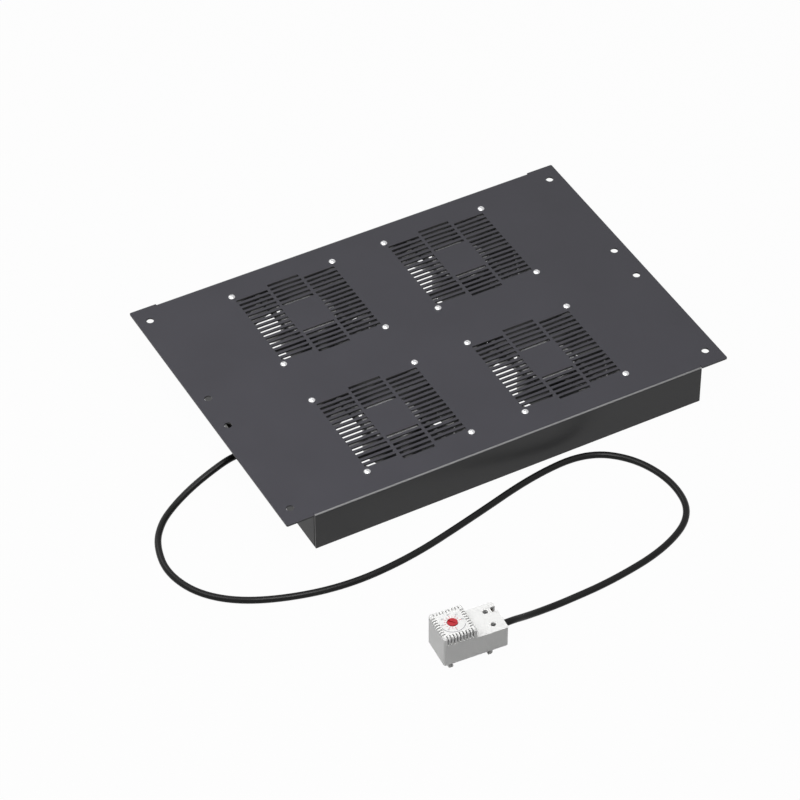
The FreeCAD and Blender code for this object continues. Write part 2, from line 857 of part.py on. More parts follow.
def fan_leads():
    """One flat twin lead from each fan to its own way of the terminal block."""
    ways = block_way_places()
    face = block_x + block_width / 2
    leads = []
    for centre, turn, way, lane in zip(fan_centres, frame_turns, twin_ways, twin_lanes):
        out = Rotation(Vector(0, 0, 1), turn) * Vector(-twin_exit, twin_exit_y, 0)
        x = centre[0] + out.x
        y = centre[1] + out.y
        lane_x = face + twin_lane * lane
        points = [(x, y)]
        if turn:
            channel = math.copysign(twin_channel_y, y)
            points += [(x, channel), (lane_x, channel)]
        else:
            points.append((lane_x, y))
        points += [(lane_x, ways[way]), (face - lead_insert, ways[way])]
        leads.append(lead([(px, py, entry_z) for px, py in points], twin_width, twin_height))
    return leads


def inlet_leads():
    """The live and neutral leads to the terminal block, and the earth lead to its stud."""
    face = block_x - block_width / 2
    ways = block_way_places()
    tab_x = panel_x + inlet_body_depth + inlet_tab_length / 2
    leads = []
    for pin, way, lane in ((-1, ways[4], 0), (1, ways[3], 1)):
        y, z = pin_place(pin)
        lane_x = face - core_lane - core_lane_pitch * lane
        leads.append(lead([
            (tab_x, y, z + inlet_pin_height / 2), (tab_x, y, entry_z), (lane_x, y, entry_z),
            (lane_x, way, entry_z), (face + lead_insert, way, entry_z),
        ], core_size, core_size))
    y, z = pin_place(0)
    leads.append(lead([
        (tab_x, y, z + inlet_pin_height / 2), (tab_x, y, entry_z), (earth_stud_x, y, entry_z),
        (earth_stud_x, earth_stud_y - stud_radius - fit_gap, entry_z),
    ], core_size, core_size))
    return leads


def thermostat_cores():
    """The cable's two cores, from its stripped end to the terminal block."""
    face = block_x - block_width / 2
    ways = block_way_places()
    cores = []
    for side, way, lane in ((-1, ways[0], 1), (1, ways[1], 0)):
        y = gland_y + side * core_pitch / 2
        lane_x = face - core_lane - core_lane_pitch * lane
        cores.append(lead([
            (sheath_end_x, y, gland_z), (lane_x, y, gland_z), (lane_x, way, gland_z),
            (lane_x, way, entry_z), (face + lead_insert, way, entry_z),
        ], core_size, core_size))
    return cores


# Thermostat. It is built about the middle of its foot, with the rail clip on the table,
# and then turned and placed.


def placed_thermostat(shape):
    """A thermostat piece turned and moved to its place beside the tray."""
    copy = shape.copy()
    spot = Placement(Vector(thermostat_x, thermostat_y, tray_bottom),
                     Rotation(Vector(0, 0, 1), thermostat_turn))
    copy.transformShape(spot.toMatrix(), True)
    return copy


def case_profile(inset, low):
    """The case in side view, high over the dial and low over the terminals, or its hollow."""
    left = case_left + inset
    right = -case_left - inset
    step = case_step - inset
    high = case_top - inset
    shelf = shelf_top - inset
    outline = [(left, low), (right, low), (right, shelf), (step, shelf), (step, high),
               (left, high), (left, low)]
    half = case_width / 2 - inset
    points = [Vector(x, -half, z) for x, z in outline]
    return Part.Face(Part.makePolygon(points)).extrude(Vector(0, 2 * half, 0))


def thermostat_case():
    """The moulded case: a stepped box with vents round the dial and wells for the screws."""
    right = -case_left
    case = case_profile(0.0, clip_height)
    ends = [e for e in vertical_edges(case) if abs(abs(e.Vertexes[0].Point.x) - right) < 1e-6]
    case = case.makeFillet(case_corner_radius, ends)
    rim = edges_where(case, lambda p: abs(p.z - case_top) < 1e-6)
    case = case.makeChamfer(case_chamfer, rim)
    cuts = [case_profile(case_wall, clip_height - 1)]
    half = case_width / 2
    first = (case_left + case_step - (vent_count - 1) * vent_pitch) / 2
    for k in range(vent_count):
        x = first + k * vent_pitch
        for side in (-1, 1):
            low, far = sorted((side * (half - vent_reach), side * (half + 1)))
            cuts.append(span_box(x - vent_width / 2, x + vent_width / 2, low, far,
                                 case_top - vent_drop, case_top + 1))
    first = -(end_vent_count - 1) * vent_pitch / 2
    for k in range(end_vent_count):
        y = first + k * vent_pitch
        for start, end in ((case_left - 1, case_left + vent_reach),
                           (case_step - vent_reach, case_step + 1)):
            cuts.append(span_box(start, end, y - vent_width / 2, y + vent_width / 2,
                                 case_top - end_vent_drop, case_top + 1))
    cuts.append(upright(dial_radius + dial_gap, case_top - case_wall - 1, case_top + 1, dial_x, 0))
    for side in (-1, 1):
        cuts.append(upright(terminal_well_radius, shelf_top - case_wall - 1, shelf_top + 1,
                            terminal_screw_x, side * terminal_screw_y))
    cuts.append(span_box(right - funnel_depth, right + 1,
                         terminal_screw_y - funnel_width / 2, terminal_screw_y + funnel_width / 2,
                         shelf_top - funnel_drop, shelf_top + 1))
    cuts.append(along_x(cable_radius + fit_gap, right - case_wall - 1, right + 1,
                        cable_entry_y, cable_entry_z))
    return cut_by(case, cuts)


def thermostat_base():
    """The base plate that closes the case, with two hooks for a mounting rail."""
    half_l = case_length / 2 - case_wall - fit_gap
    half_w = case_width / 2 - case_wall - fit_gap
    pieces = [span_box(-half_l, half_l, -half_w, half_w, clip_height, base_top)]
    inner = rail_width / 2 + rail_play
    outer = inner + hook_thickness
    for side in (-1, 1):
        outline = [(inner, clip_height), (inner, rail_lip), (inner - hook_reach, rail_lip),
                   (inner - hook_reach + hook_lead_in, 0), (outer - hook_corner, 0),
                   (outer, hook_corner), (outer, clip_height), (inner, clip_height)]
        points = [Vector(hook_centre_x + side * x, -hook_width / 2, z) for x, z in outline]
        pieces.append(Part.Face(Part.makePolygon(points)).extrude(Vector(0, hook_width, 0)))
    return fused(pieces)


def thermostat_dial():
    """The dial, slotted for a screwdriver, with a pointer notch at its rim."""
    low = case_top - dial_skirt
    knob = upright(dial_radius, low, dial_top, dial_x, 0)
    half = dial_slot_width / 2
    slot = span_box(dial_x - dial_slot_reach, dial_x + dial_radius + 1, -half, half,
                    dial_top - dial_slot_depth, dial_top + 1)
    hole = upright(spindle_radius + press_gap, low - 1, low + dial_skirt / 2, dial_x, 0)
    return knob.cut(slot).cut(hole)


def dial_spindle():
    """The spindle under the dial, which bears on the bimetal's adjuster."""
    top = case_top - dial_skirt / 2
    return upright(spindle_radius, top - spindle_length, top, dial_x, 0)


def thermostat_carrier():
    """The moulded carrier across the case with the spindle's bush."""
    half = case_width / 2 - case_wall - fit_gap
    top = case_top - case_wall - carrier_drop
    low = top - carrier_thickness
    plate = span_box(case_left + case_wall + fit_gap, case_step - case_wall - fit_gap,
                     -half, half, low, top)
    bush = upright(bush_radius, low - bush_length, top, dial_x, 0)
    bore = upright(spindle_radius + bearing_clearance, low - bush_length - 1, top + 1, dial_x, 0)
    return fused([plate, bush]).cut(bore)


def bimetal_strip():
    """The bimetal strip that bows beneath the spindle as it warms."""
    side = -bimetal_width / 2
    left = case_left + case_wall + bimetal_inset
    right = case_step - case_wall - bimetal_inset
    start = Vector(left, side, base_top)
    crown = Vector((left + right) / 2, side, base_top + bimetal_rise)
    end = Vector(right, side, base_top)
    step = Vector(0, 0, bimetal_thickness)
    under = Part.Arc(start, crown, end).toShape()
    right_end = Part.LineSegment(end, end + step).toShape()
    over = Part.Arc(end + step, crown + step, start + step).toShape()
    left_end = Part.LineSegment(start + step, start).toShape()
    wire = Part.Wire([under, right_end, over, left_end])
    return Part.Face(wire).extrude(Vector(0, bimetal_width, 0))


def terminal_clamps():
    """Two screw clamps on posts beneath the wells of the terminal part."""
    half = clamp_length / 2
    clamps = []
    for side in (-1, 1):
        y = side * terminal_screw_y
        clamps.append(span_box(terminal_screw_x - half, terminal_screw_x + half,
                               y - clamp_width / 2, y + clamp_width / 2, base_top, clamp_top))
    return clamps


def terminal_screws():
    """Slotted clamp screws seen through the wells."""
    top = clamp_top + terminal_screw_head
    half = terminal_screw_slot / 2
    screws = []
    for side in (-1, 1):
        y = side * terminal_screw_y
        screw = upright(terminal_screw_radius, clamp_top, top, terminal_screw_x, y)
        slot = span_box(terminal_screw_x - terminal_screw_radius - 1,
                        terminal_screw_x + terminal_screw_radius + 1,
                        y - half, y + half, top - terminal_screw_slot, top + 1)
        screws.append(screw.cut(slot))
    return screws


# Cable


def cable_radii():
    """The bend radius at each inner point of the cable's route."""
    points = [Vector(*p) for p in cable_route]
    radii = []
    for before, corner, after in zip(points, points[1:], points[2:]):
        into = corner - before
        out = after - corner
        shorter = min(into.Length, out.Length)
        radii.append(cable_bend_share * shorter / math.tan(into.getAngle(out) / 2))
    return radii


def thermostat_cable():
    """The free cable from the gland to the thermostat."""
    radii = cable_radii()
    path = rounded_path(cable_route, radii)
    tube = tube_along(path, cable_radius)
    expected = math.pi * cable_radius ** 2 * path.Length
    print("cable length", round(path.Length, 1), "volume share", round(tube.Volume / expected, 4))
    print("cable bend radii", [round(r, 1) for r in radii])
    return tube


def main():
    """Builds every piece and writes one file for each node."""
    os.makedirs("parts", exist_ok=True)
    save("tray_plate", tray_plate())
    save("left_side_panel", left_side_panel())
    save("right_side_panel", turned(side_panel(), 180))
    frame = fan_frame()
    rotor = impeller()
    for number, (centre, angle, turn) in enumerate(zip(fan_centres, rest_angles, frame_turns), 1):
        name = "fan_" + str(number)
        save(name + "_frame", placed_fan(turned(frame, turn), centre))
        save(name + "_impeller", placed_fan(turned(rotor, angle), centre))
        save(name + "_shaft", placed_fan(shaft(), centre))
        save(name + "_bearing", placed_fan(bearing(), centre))
        save(name + "_stator", placed_fan(stator_core(), centre))
        save(name + "_coils", [placed_fan(coil, centre) for coil in stator_coils()])
    save("fan_screws", fan_screws())
    save("gland_body", gland_body())
    save("gland_dome_nut", gland_dome_nut())
    save("gland_locknut", gland_locknut())
    save("cable_sheath_end", cable_sheath_end())
    save("inlet_body", inlet_body())
    save("inlet_pins", inlet_pins())
    save("inlet_screws", inlet_screws())
    save("inlet_nuts", inlet_nuts())
    save("terminal_block", terminal_block())
    save("weld_studs", weld_studs())
    save("stud_nuts", stud_nuts())
    save("fan_leads", fan_leads())
    save("inlet_leads", inlet_leads())
    save("thermostat_cores", thermostat_cores())
    save("thermostat_case", placed_thermostat(thermostat_case()))
    save("thermostat_base", placed_thermostat(thermostat_base()))
    save("thermostat_dial", placed_thermostat(thermostat_dial()))
    save("dial_spindle", placed_thermostat(dial_spindle()))
    save("thermostat_carrier", placed_thermostat(thermostat_carrier()))
    save("bimetal_strip", placed_thermostat(bimetal_strip()))
    save("terminal_clamps", [placed_thermostat(clamp) for clamp in terminal_clamps()])
    save("terminal_screws", [placed_thermostat(screw) for screw in terminal_screws()])
    save("thermostat_cable", thermostat_cable())


main()
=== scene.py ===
"""Dresses the rack fan tray: finishes for its CAD nodes, and pieces that the solids leave plain.

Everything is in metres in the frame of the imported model: the origin is the centre of the
plate's top face, +X runs along the plate, +Y to the back and +Z up.
"""
from __future__ import annotations

import json
import logging
import math
from dataclasses import dataclass, field
from enum import Enum
from typing import Any, Callable, Sequence

import bmesh
import bpy
from mathutils import Matrix, Vector

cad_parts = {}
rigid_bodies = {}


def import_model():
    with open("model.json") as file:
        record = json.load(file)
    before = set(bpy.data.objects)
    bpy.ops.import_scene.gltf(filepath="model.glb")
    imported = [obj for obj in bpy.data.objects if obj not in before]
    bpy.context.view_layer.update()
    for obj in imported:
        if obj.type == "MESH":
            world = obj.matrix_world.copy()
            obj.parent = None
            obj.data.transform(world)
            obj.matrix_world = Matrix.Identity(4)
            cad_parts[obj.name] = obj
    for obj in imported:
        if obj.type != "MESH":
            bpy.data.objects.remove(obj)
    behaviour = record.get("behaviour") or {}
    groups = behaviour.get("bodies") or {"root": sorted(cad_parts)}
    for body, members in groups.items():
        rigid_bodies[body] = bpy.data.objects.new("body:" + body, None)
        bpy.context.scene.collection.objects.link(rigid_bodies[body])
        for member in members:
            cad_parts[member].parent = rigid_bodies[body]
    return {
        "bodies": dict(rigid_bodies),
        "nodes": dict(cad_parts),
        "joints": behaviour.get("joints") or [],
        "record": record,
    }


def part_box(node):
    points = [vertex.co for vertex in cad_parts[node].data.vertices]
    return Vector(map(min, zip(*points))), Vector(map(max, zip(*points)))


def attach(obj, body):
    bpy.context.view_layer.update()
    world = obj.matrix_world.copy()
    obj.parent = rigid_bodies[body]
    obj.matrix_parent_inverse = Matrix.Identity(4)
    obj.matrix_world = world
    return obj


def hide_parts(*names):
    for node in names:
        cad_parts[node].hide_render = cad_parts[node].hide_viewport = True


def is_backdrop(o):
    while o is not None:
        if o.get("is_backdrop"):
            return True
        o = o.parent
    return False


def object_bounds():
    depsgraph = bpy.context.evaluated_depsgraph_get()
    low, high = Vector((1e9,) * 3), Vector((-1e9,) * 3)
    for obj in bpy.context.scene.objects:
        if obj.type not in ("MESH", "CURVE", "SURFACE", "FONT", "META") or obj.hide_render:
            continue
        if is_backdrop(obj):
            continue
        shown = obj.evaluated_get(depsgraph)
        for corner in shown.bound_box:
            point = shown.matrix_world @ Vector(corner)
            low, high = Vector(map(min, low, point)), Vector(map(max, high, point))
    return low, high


LOG = logging.getLogger("rack_fan_tray")
MM = 0.001
BEND_TILT = math.sqrt(0.5)
CROSS_RISE = 0.6
BEND_SHARE = 0.45
WHITE = (1.0, 1.0, 1.0, 1.0)

Colour = tuple[float, float, float]
Place = tuple[float, float, float]
Pair = tuple[float, float]
Rings = list[list[bmesh.types.BMVert]]

NOISE_SPAN: Pair = (0.3, 0.7)
PATCH_SPAN: Pair = (0.35, 0.65)


class Ray(Enum):
    """The kinds of ray that the studio's white background answers to."""

    CAMERA = "Is Camera Ray"
    GLOSSY = "Is Glossy Ray"
    TRANSMISSION = "Is Transmission Ray"


class Recess(Enum):
    """The drive that is pressed or cut into a screw's head."""

    CROSS = 4
    SLOT = 2


# Shader maths


class Wire:
    """An output socket whose arithmetic adds Math nodes to its tree."""

    def __init__(self, tree: "Tree", socket: bpy.types.NodeSocket) -> None:
        """Wraps a socket of a tree."""
        self.tree = tree
        self.socket = socket

    def math(self, operation: str, *values: Any) -> "Wire":
        """Adds one Math node.

        Args:
            operation: the Math node's operation.
            values: its inputs in order, each a number or a Wire.

        Returns:
            The node's result.
        """
        inputs = dict(enumerate(values))
        return self.tree.node("ShaderNodeMath", {"operation": operation}, inputs)

    def __add__(self, other: Any) -> "Wire":
        """self + other"""
        return self.math("ADD", self, other)

    def __radd__(self, other: float) -> "Wire":
        """other + self"""
        return self.math("ADD", other, self)

    def __sub__(self, other: Any) -> "Wire":
        """self - other"""
        return self.math("SUBTRACT", self, other)

    def __rsub__(self, other: float) -> "Wire":
        """other - self"""
        return self.math("SUBTRACT", other, self)

    def __mul__(self, other: Any) -> "Wire":
        """self * other"""
        return self.math("MULTIPLY", self, other)

    def __rmul__(self, other: float) -> "Wire":
        """other * self"""
        return self.math("MULTIPLY", other, self)

    def __truediv__(self, other: Any) -> "Wire":
        """self / other"""
        return self.math("DIVIDE", self, other)

    def __rtruediv__(self, other: float) -> "Wire":
        """other / self"""
        return self.math("DIVIDE", other, self)

    def __pow__(self, other: Any) -> "Wire":
        """self to the power other"""
        return self.math("POWER", self, other)

    def __rpow__(self, other: float) -> "Wire":
        """other to the power self"""
        return self.math("POWER", other, self)

    def __gt__(self, other: Any) -> "Wire":
        """1 where self is above other, and 0 elsewhere"""
        return self.math("GREATER_THAN", self, other)

    def __lt__(self, other: Any) -> "Wire":
        """1 where self is below other, and 0 elsewhere"""
        return self.math("LESS_THAN", self, other)

    def most(self, other: Any) -> "Wire":
        """Returns the larger of self and other."""
        return self.math("MAXIMUM", self, other)

    def mean(self, other: "Wire", share: float = 0.5) -> "Wire":
        """Returns a share of self and the rest of other."""
        return self * share + other * (1 - share)


class Tree:
    """A node tree, of a material or of the world."""

    def __init__(self, tree: bpy.types.NodeTree) -> None:
        """Empties the tree."""
        self.tree = tree
        self.tree.nodes.clear()

    def node(self, kind: str, settings: dict[str, Any] | None = None,
             inputs: dict[Any, Any] | None = None, output: Any = 0) -> Wire:
        """Adds any node.

        Args:
            kind: the node's type.
            settings: its properties, set before its sockets.
            inputs: values or Wires by socket name or number.
            output: the name or number of the socket to return.

        Returns:
            The chosen output.
        """
        made = self.tree.nodes.new(kind)
        for key, value in (settings or {}).items():
            setattr(made, key, value)
        for key, value in (inputs or {}).items():
            self.feed(made.inputs[key], value)
        return Wire(self, made.outputs[output])

    def feed(self, socket: bpy.types.NodeSocket, value: Any) -> None:
        """Links a Wire to a socket, or sets its value."""
        if isinstance(value, Wire):
            self.tree.links.new(value.socket, socket)
        else:
            socket.default_value = value

    def white_rays(self) -> Wire:
        """Returns 1 for the rays that show the plain white background, and 0 for light's own."""
        seen = [self.node("ShaderNodeLightPath", output=ray.value) for ray in Ray]
        return seen[0].most(seen[1].most(seen[2]))


class Shader(Tree):
    """One material's node tree, with a Principled BSDF at its end."""

    def __init__(self, name: str) -> None:
        """Starts a material of that name with an empty tree."""
        self.material = bpy.data.materials.new(name)
        self.material.use_nodes = True
        super().__init__(self.material.node_tree)
        self.output = self.tree.nodes.new("ShaderNodeOutputMaterial")
        self.surface = self.tree.nodes.new("ShaderNodeBsdfPrincipled")
        self.tree.links.new(self.surface.outputs[0], self.output.inputs["Surface"])

    def set(self, **values: Any) -> None:
        """Sets or links the surface's sockets, with _ for each space in a name."""
        for key, value in values.items():
            self.feed(self.surface.inputs[key.replace("_", " ")], value)

    def place(self) -> Wire:
        """Returns the point on the surface, in metres in the row frame."""
        return self.node("ShaderNodeTexCoord", output="Object")

    def noise(self, scale: float, detail: float = 2.0, stretch: Place = (1.0, 1.0, 1.0)) -> Wire:
        """Returns noise from 0 to 1.

        Args:
            scale: features per metre.
            detail: how many finer layers it has.
            stretch: how much denser it is along each axis.

        Returns:
            The noise.
        """
        spot = self.node("ShaderNodeMapping", {}, {"Vector": self.place(), "Scale": stretch})
        return self.node("ShaderNodeTexNoise", {},
                         {"Vector": spot, "Scale": scale, "Detail": detail})

    def spread(self, value: Wire, span: Pair, target: Pair = (0.0, 1.0)) -> Wire:
        """Maps a value's span to a target span and clamps it there."""
        return self.node("ShaderNodeMapRange", {"clamp": True},
                         {"Value": value, "From Min": span[0], "From Max": span[1],
                          "To Min": target[0], "To Max": target[1]})

    def between(self, value: Wire, span: Pair, first: Any, second: Any) -> Wire:
        """Mixes two colours by a value.

        Args:
            value: what the mix follows.
            span: the first colour shows alone below it, and the second above it.
            first: a colour, or a Wire that carries one.
            second: the same.

        Returns:
            The mixed colour.
        """
        return self.node("ShaderNodeMix", {"data_type": "RGBA"},
                         {0: self.spread(value, span), 6: self.rgba(first),
                          7: self.rgba(second)}, output=2)

    def worn(self, value: Wire, roughness: float, smoother: float, duller: float) -> Wire:
        """Varies a roughness with noise.

        Args:
            value: the noise.
            roughness: the usual roughness.
            smoother: how far it falls where the noise is low.
            duller: how far it rises where the noise is high.

        Returns:
            The roughness.
        """
        return self.spread(value, NOISE_SPAN, (roughness - smoother, roughness + duller))

    def facing(self, direction: Place) -> Wire:
        """Returns how far the surface faces a direction of the row frame, at most 1."""
        normal = self.node("ShaderNodeNewGeometry", output="Normal")
        return self.node("ShaderNodeVectorMath", {"operation": "DOT_PRODUCT"},
                         {0: normal, 1: direction}, output="Value")

    def bump(self, height: Wire, depth: float, under: Wire | None = None) -> Wire:
        """Returns a normal bumped by a height from 0 to 1 over a depth in metres."""
        inputs = {"Height": height, "Distance": depth, "Strength": 1.0}
        if under is not None:
            inputs["Normal"] = under
        return self.node("ShaderNodeBump", {}, inputs)

    @staticmethod
    def rgba(colour: Any) -> Any:
        """Returns a colour with its alpha, or a Wire as it is."""
        return colour if isinstance(colour, Wire) else (*colour, 1.0)


# Finishes


def shifted(colour: Colour, gain: float, lift: float = 0.0) -> Colour:
    """Returns a colour times a gain, plus a lift."""
    return tuple(channel * gain + lift for channel in colour)


@dataclass(frozen=True)
class PowderCoat:
    """Fine-textured stoved powder on sheet steel."""

    name: str
    colour: Colour
    roughness: float = 0.34
    grain_per_m: float = 1500.0
    grain_depth: float = 0.000012
    flow_per_m: float = 160.0
    flow_depth: float = 0.00002
    cloud_per_m: float = 14.0
    mottle: float = 0.05
    gloss: float = 0.25
    # painted highlight: a paler grey laid on the outer bends stands in for the lamps' reflection
    # along them
    painted_bend_highlight: Colour = (0.27, 0.27, 0.27)
    # painted shade: a darker, neutral grey on the faces that don't look up stands in for the
    # shade on the walls
    painted_wall_shade: Colour = (0.035, 0.035, 0.036)
    painted_bend_span: Pair = (0.93, 0.985)
    wall_shade_span: Pair = (0.2, 0.6)
    smoother: float = 0.04
    duller: float = 0.05

    def build(self) -> bpy.types.Material:
        """Returns the finish as a material, with painted shade on its walls and a painted
        highlight along its outer bends.
        """
        shader = Shader(self.name)
        # mask of the outer bends, facing up and to the front or to the back, that take the
        # painted highlight
        front = shader.facing((0.0, -BEND_TILT, BEND_TILT))
        bends = front.most(shader.facing((0.0, BEND_TILT, BEND_TILT)))
        grain = shader.noise(self.grain_per_m, detail=3.0)
        flow = shader.noise(self.flow_per_m)
        cloud = shader.noise(self.cloud_per_m, detail=3.0)
        coat = shader.between(cloud.mean(grain, share=0.7), PATCH_SPAN,
                              shifted(self.colour, 1 - self.mottle),
                              shifted(self.colour, 1 + self.mottle))
        # painted shade: the walls take the darker grey, and faces that look up keep the coat
        upward = shader.facing((0.0, 0.0, 1.0))
        coat = shader.between(upward, self.wall_shade_span, self.painted_wall_shade, coat)
        shader.set(
            Specular_IOR_Level=self.gloss,
            # the painted highlight is mixed over the coat on the outer bends
            Base_Color=shader.between(bends, self.painted_bend_span, coat, self.painted_bend_highlight),
            Roughness=shader.worn(grain.mean(cloud), self.roughness,
                                  self.smoother, self.duller),
            Normal=shader.bump(grain, self.grain_depth, shader.bump(flow, self.flow_depth)),
        )
        return shader.material


@dataclass(frozen=True)
class MouldedPlastic:
    """Injection-moulded plastic with a spark-eroded grain."""

    name: str
    colour: Colour
    roughness: float = 0.42
    grain_per_m: float = 2200.0
    grain_depth: float = 0.000006
    flow_per_m: float = 45.0
    tint: float = 0.04
    wear: float = 0.05

    def build(self) -> bpy.types.Material:
        """Returns the finish as a material."""
        shader = Shader(self.name)
        grain = shader.noise(self.grain_per_m)
        flow = shader.noise(self.flow_per_m)
        dull = shifted(self.colour, 1 - self.tint)
        shader.set(
            Base_Color=shader.between(flow, PATCH_SPAN, dull, self.colour),
            Roughness=shader.worn(flow.mean(grain, share=0.6), self.roughness,
                                  self.wear, self.wear),
            Normal=shader.bump(grain, self.grain_depth),
        )
        return shader.material


@dataclass(frozen=True)
class CastPaint:
    """Black paint over a die casting, whose skin is slightly rippled."""

    name: str
    colour: Colour
    roughness: float = 0.45
    ripple_per_m: float = 420.0
    ripple_depth: float = 0.00004
    ripple_span: Pair = (0.40, 0.75)
    crest_gain: float = 1.6
    crest_lift: float = 0.004
    pits_per_m: float = 2600.0
    pit_depth: float = 0.000010
    pit_span: Pair = (0.60, 0.72)
    wear: float = 0.08

    def build(self) -> bpy.types.Material:
        """Returns the finish as a material."""
        shader = Shader(self.name)
        ripple = shader.noise(self.ripple_per_m, detail=4.0)
        pits = shader.spread(shader.noise(self.pits_per_m, detail=1.0), self.pit_span)
        crest = shifted(self.colour, self.crest_gain, self.crest_lift)
        shader.set(
            Base_Color=shader.between(ripple, self.ripple_span, self.colour, crest),
            Roughness=shader.worn(ripple, self.roughness, self.wear, self.wear),
            Normal=shader.bump(1 - pits, self.pit_depth,
                               shader.bump(ripple, self.ripple_depth)),
        )
        return shader.material


@dataclass(frozen=True)
class Metal:
    """Bare or plated metal with fine drawn or turned marks."""

    name: str
    colour: Colour
    roughness: float = 0.25
    marks_per_m: float = 900.0
    stretch: Place = (1.0, 1.0, 1.0)
    mark_depth: float = 0.000004
    patches_per_m: float = 260.0
    stain: float = 0.12
    smoother: float = 0.06
    duller: float = 0.08

    def build(self) -> bpy.types.Material:
        """Returns the finish as a material."""
        shader = Shader(self.name)
        marks = shader.noise(self.marks_per_m, detail=3.0, stretch=self.stretch)
        patches = shader.noise(self.patches_per_m, detail=3.0)
        dull = shifted(self.colour, 1 - self.stain)
        shader.set(
            Metallic=1.0,
            Base_Color=shader.between(patches, PATCH_SPAN, dull, self.colour),
            Roughness=shader.worn(patches.mean(marks), self.roughness,
                                  self.smoother, self.duller),
            Normal=shader.bump(marks, self.mark_depth),
        )
        return shader.material


@dataclass(frozen=True)
class CableSheath:
    """Soft PVC insulation with a faint drawn texture and a trace of dust."""

    name: str
    colour: Colour
    roughness: float = 0.36
    gloss: float = 0.5
    skin_per_m: float = 900.0
    skin_depth: float = 0.000010
    smears_per_m: float = 55.0
    dust_span: Pair = (0.50, 0.80)
    dust_gain: float = 1.4
    dust_lift: float = 0.002
    smoother: float = 0.06
    duller: float = 0.10

    def build(self) -> bpy.types.Material:
        """Returns the finish as a material."""
        shader = Shader(self.name)
        skin = shader.noise(self.skin_per_m, detail=3.0)
        smears = shader.noise(self.smears_per_m, detail=3.0)
        dusty = shifted(self.colour, self.dust_gain, self.dust_lift)
        shader.set(
            Specular_IOR_Level=self.gloss,
            Base_Color=shader.between(smears, self.dust_span, self.colour, dusty),
            Roughness=shader.worn(smears.mean(skin, share=0.6), self.roughness,
                                  self.smoother, self.duller),
            Normal=shader.bump(skin, self.skin_depth),
        )
        return shader.material


@dataclass(frozen=True)
class Palette:
    """Every finish of the tray, built once each."""

    tray: PowderCoat = PowderCoat("tray_powder_coat", (0.044, 0.043, 0.052))
    panel: PowderCoat = PowderCoat("panel_powder_coat", (0.034, 0.034, 0.034), gloss=0.10)
    frame: CastPaint = CastPaint("fan_frame_paint", (0.050, 0.050, 0.051))
    blade: MouldedPlastic = MouldedPlastic("fan_blade_plastic", (0.045, 0.045, 0.046), 0.38)
    hub_label: Metal = Metal("fan_hub_foil", (0.62, 0.62, 0.62), 0.42, 700.0, (1.0, 9.0, 1.0))
    zinc: Metal = Metal("bright_zinc_plate", (0.86, 0.86, 0.85), 0.16)
    dull_zinc: Metal = Metal("dull_zinc_plate", (0.60, 0.60, 0.61), 0.22)
    steel: Metal = Metal("ground_steel", (0.56, 0.56, 0.56), 0.28, 1400.0, (1.0, 1.0, 0.1))
    laminations: Metal = Metal("varnished_laminations", (0.24, 0.23, 0.22), 0.45, 2400.0,
                               (0.05, 0.05, 1.0), 0.00003)
    dark_steel: Metal = Metal("blackened_steel", (0.20, 0.20, 0.20), 0.40)
    bronze: Metal = Metal("sintered_bronze", (0.50, 0.32, 0.16), 0.45)
    brass: Metal = Metal("plain_brass", (0.74, 0.55, 0.26), 0.30)
    copper: Metal = Metal("enamelled_copper", (0.62, 0.22, 0.09), 0.30, 2600.0, (0.1, 1.0, 1.0))
    black_nylon: MouldedPlastic = MouldedPlastic("black_nylon", (0.016, 0.016, 0.017), 0.40)
    natural_nylon: MouldedPlastic = MouldedPlastic("natural_nylon", (0.72, 0.70, 0.64), 0.40)
    lead_black: CableSheath = CableSheath("black_lead_insulation", (0.014, 0.014, 0.015), 0.40)
    lead_brown: CableSheath = CableSheath("brown_lead_insulation", (0.070, 0.025, 0.012), 0.40)
    lead_blue: CableSheath = CableSheath("blue_lead_insulation", (0.015, 0.06, 0.24), 0.40)
    lead_green: CableSheath = CableSheath("green_lead_insulation", (0.03, 0.16, 0.03), 0.40)
    sheath: CableSheath = CableSheath("black_cable_sheath", (0.006, 0.006, 0.006), 0.24, 0.16)
    case: MouldedPlastic = MouldedPlastic("pale_thermostat_plastic", (0.78, 0.78, 0.77), 0.46)
    dial: MouldedPlastic = MouldedPlastic("red_dial_plastic", (0.43, 0.012, 0.022), 0.42)
    print_red: MouldedPlastic = MouldedPlastic("red_scale_print", (0.55, 0.05, 0.08), 0.55)
    print_grey: MouldedPlastic = MouldedPlastic("grey_scale_print", (0.08, 0.08, 0.11), 0.55)
    made: dict[str, bpy.types.Material] = field(default_factory=dict)

    def get(self, name: str) -> bpy.types.Material:
        """Returns the material of one of the finishes above, by its field's name."""
        if name not in self.made:
            self.made[name] = getattr(self, name).build()
        return self.made[name]


# Pieces, and the mesh code that several sub-assemblies share


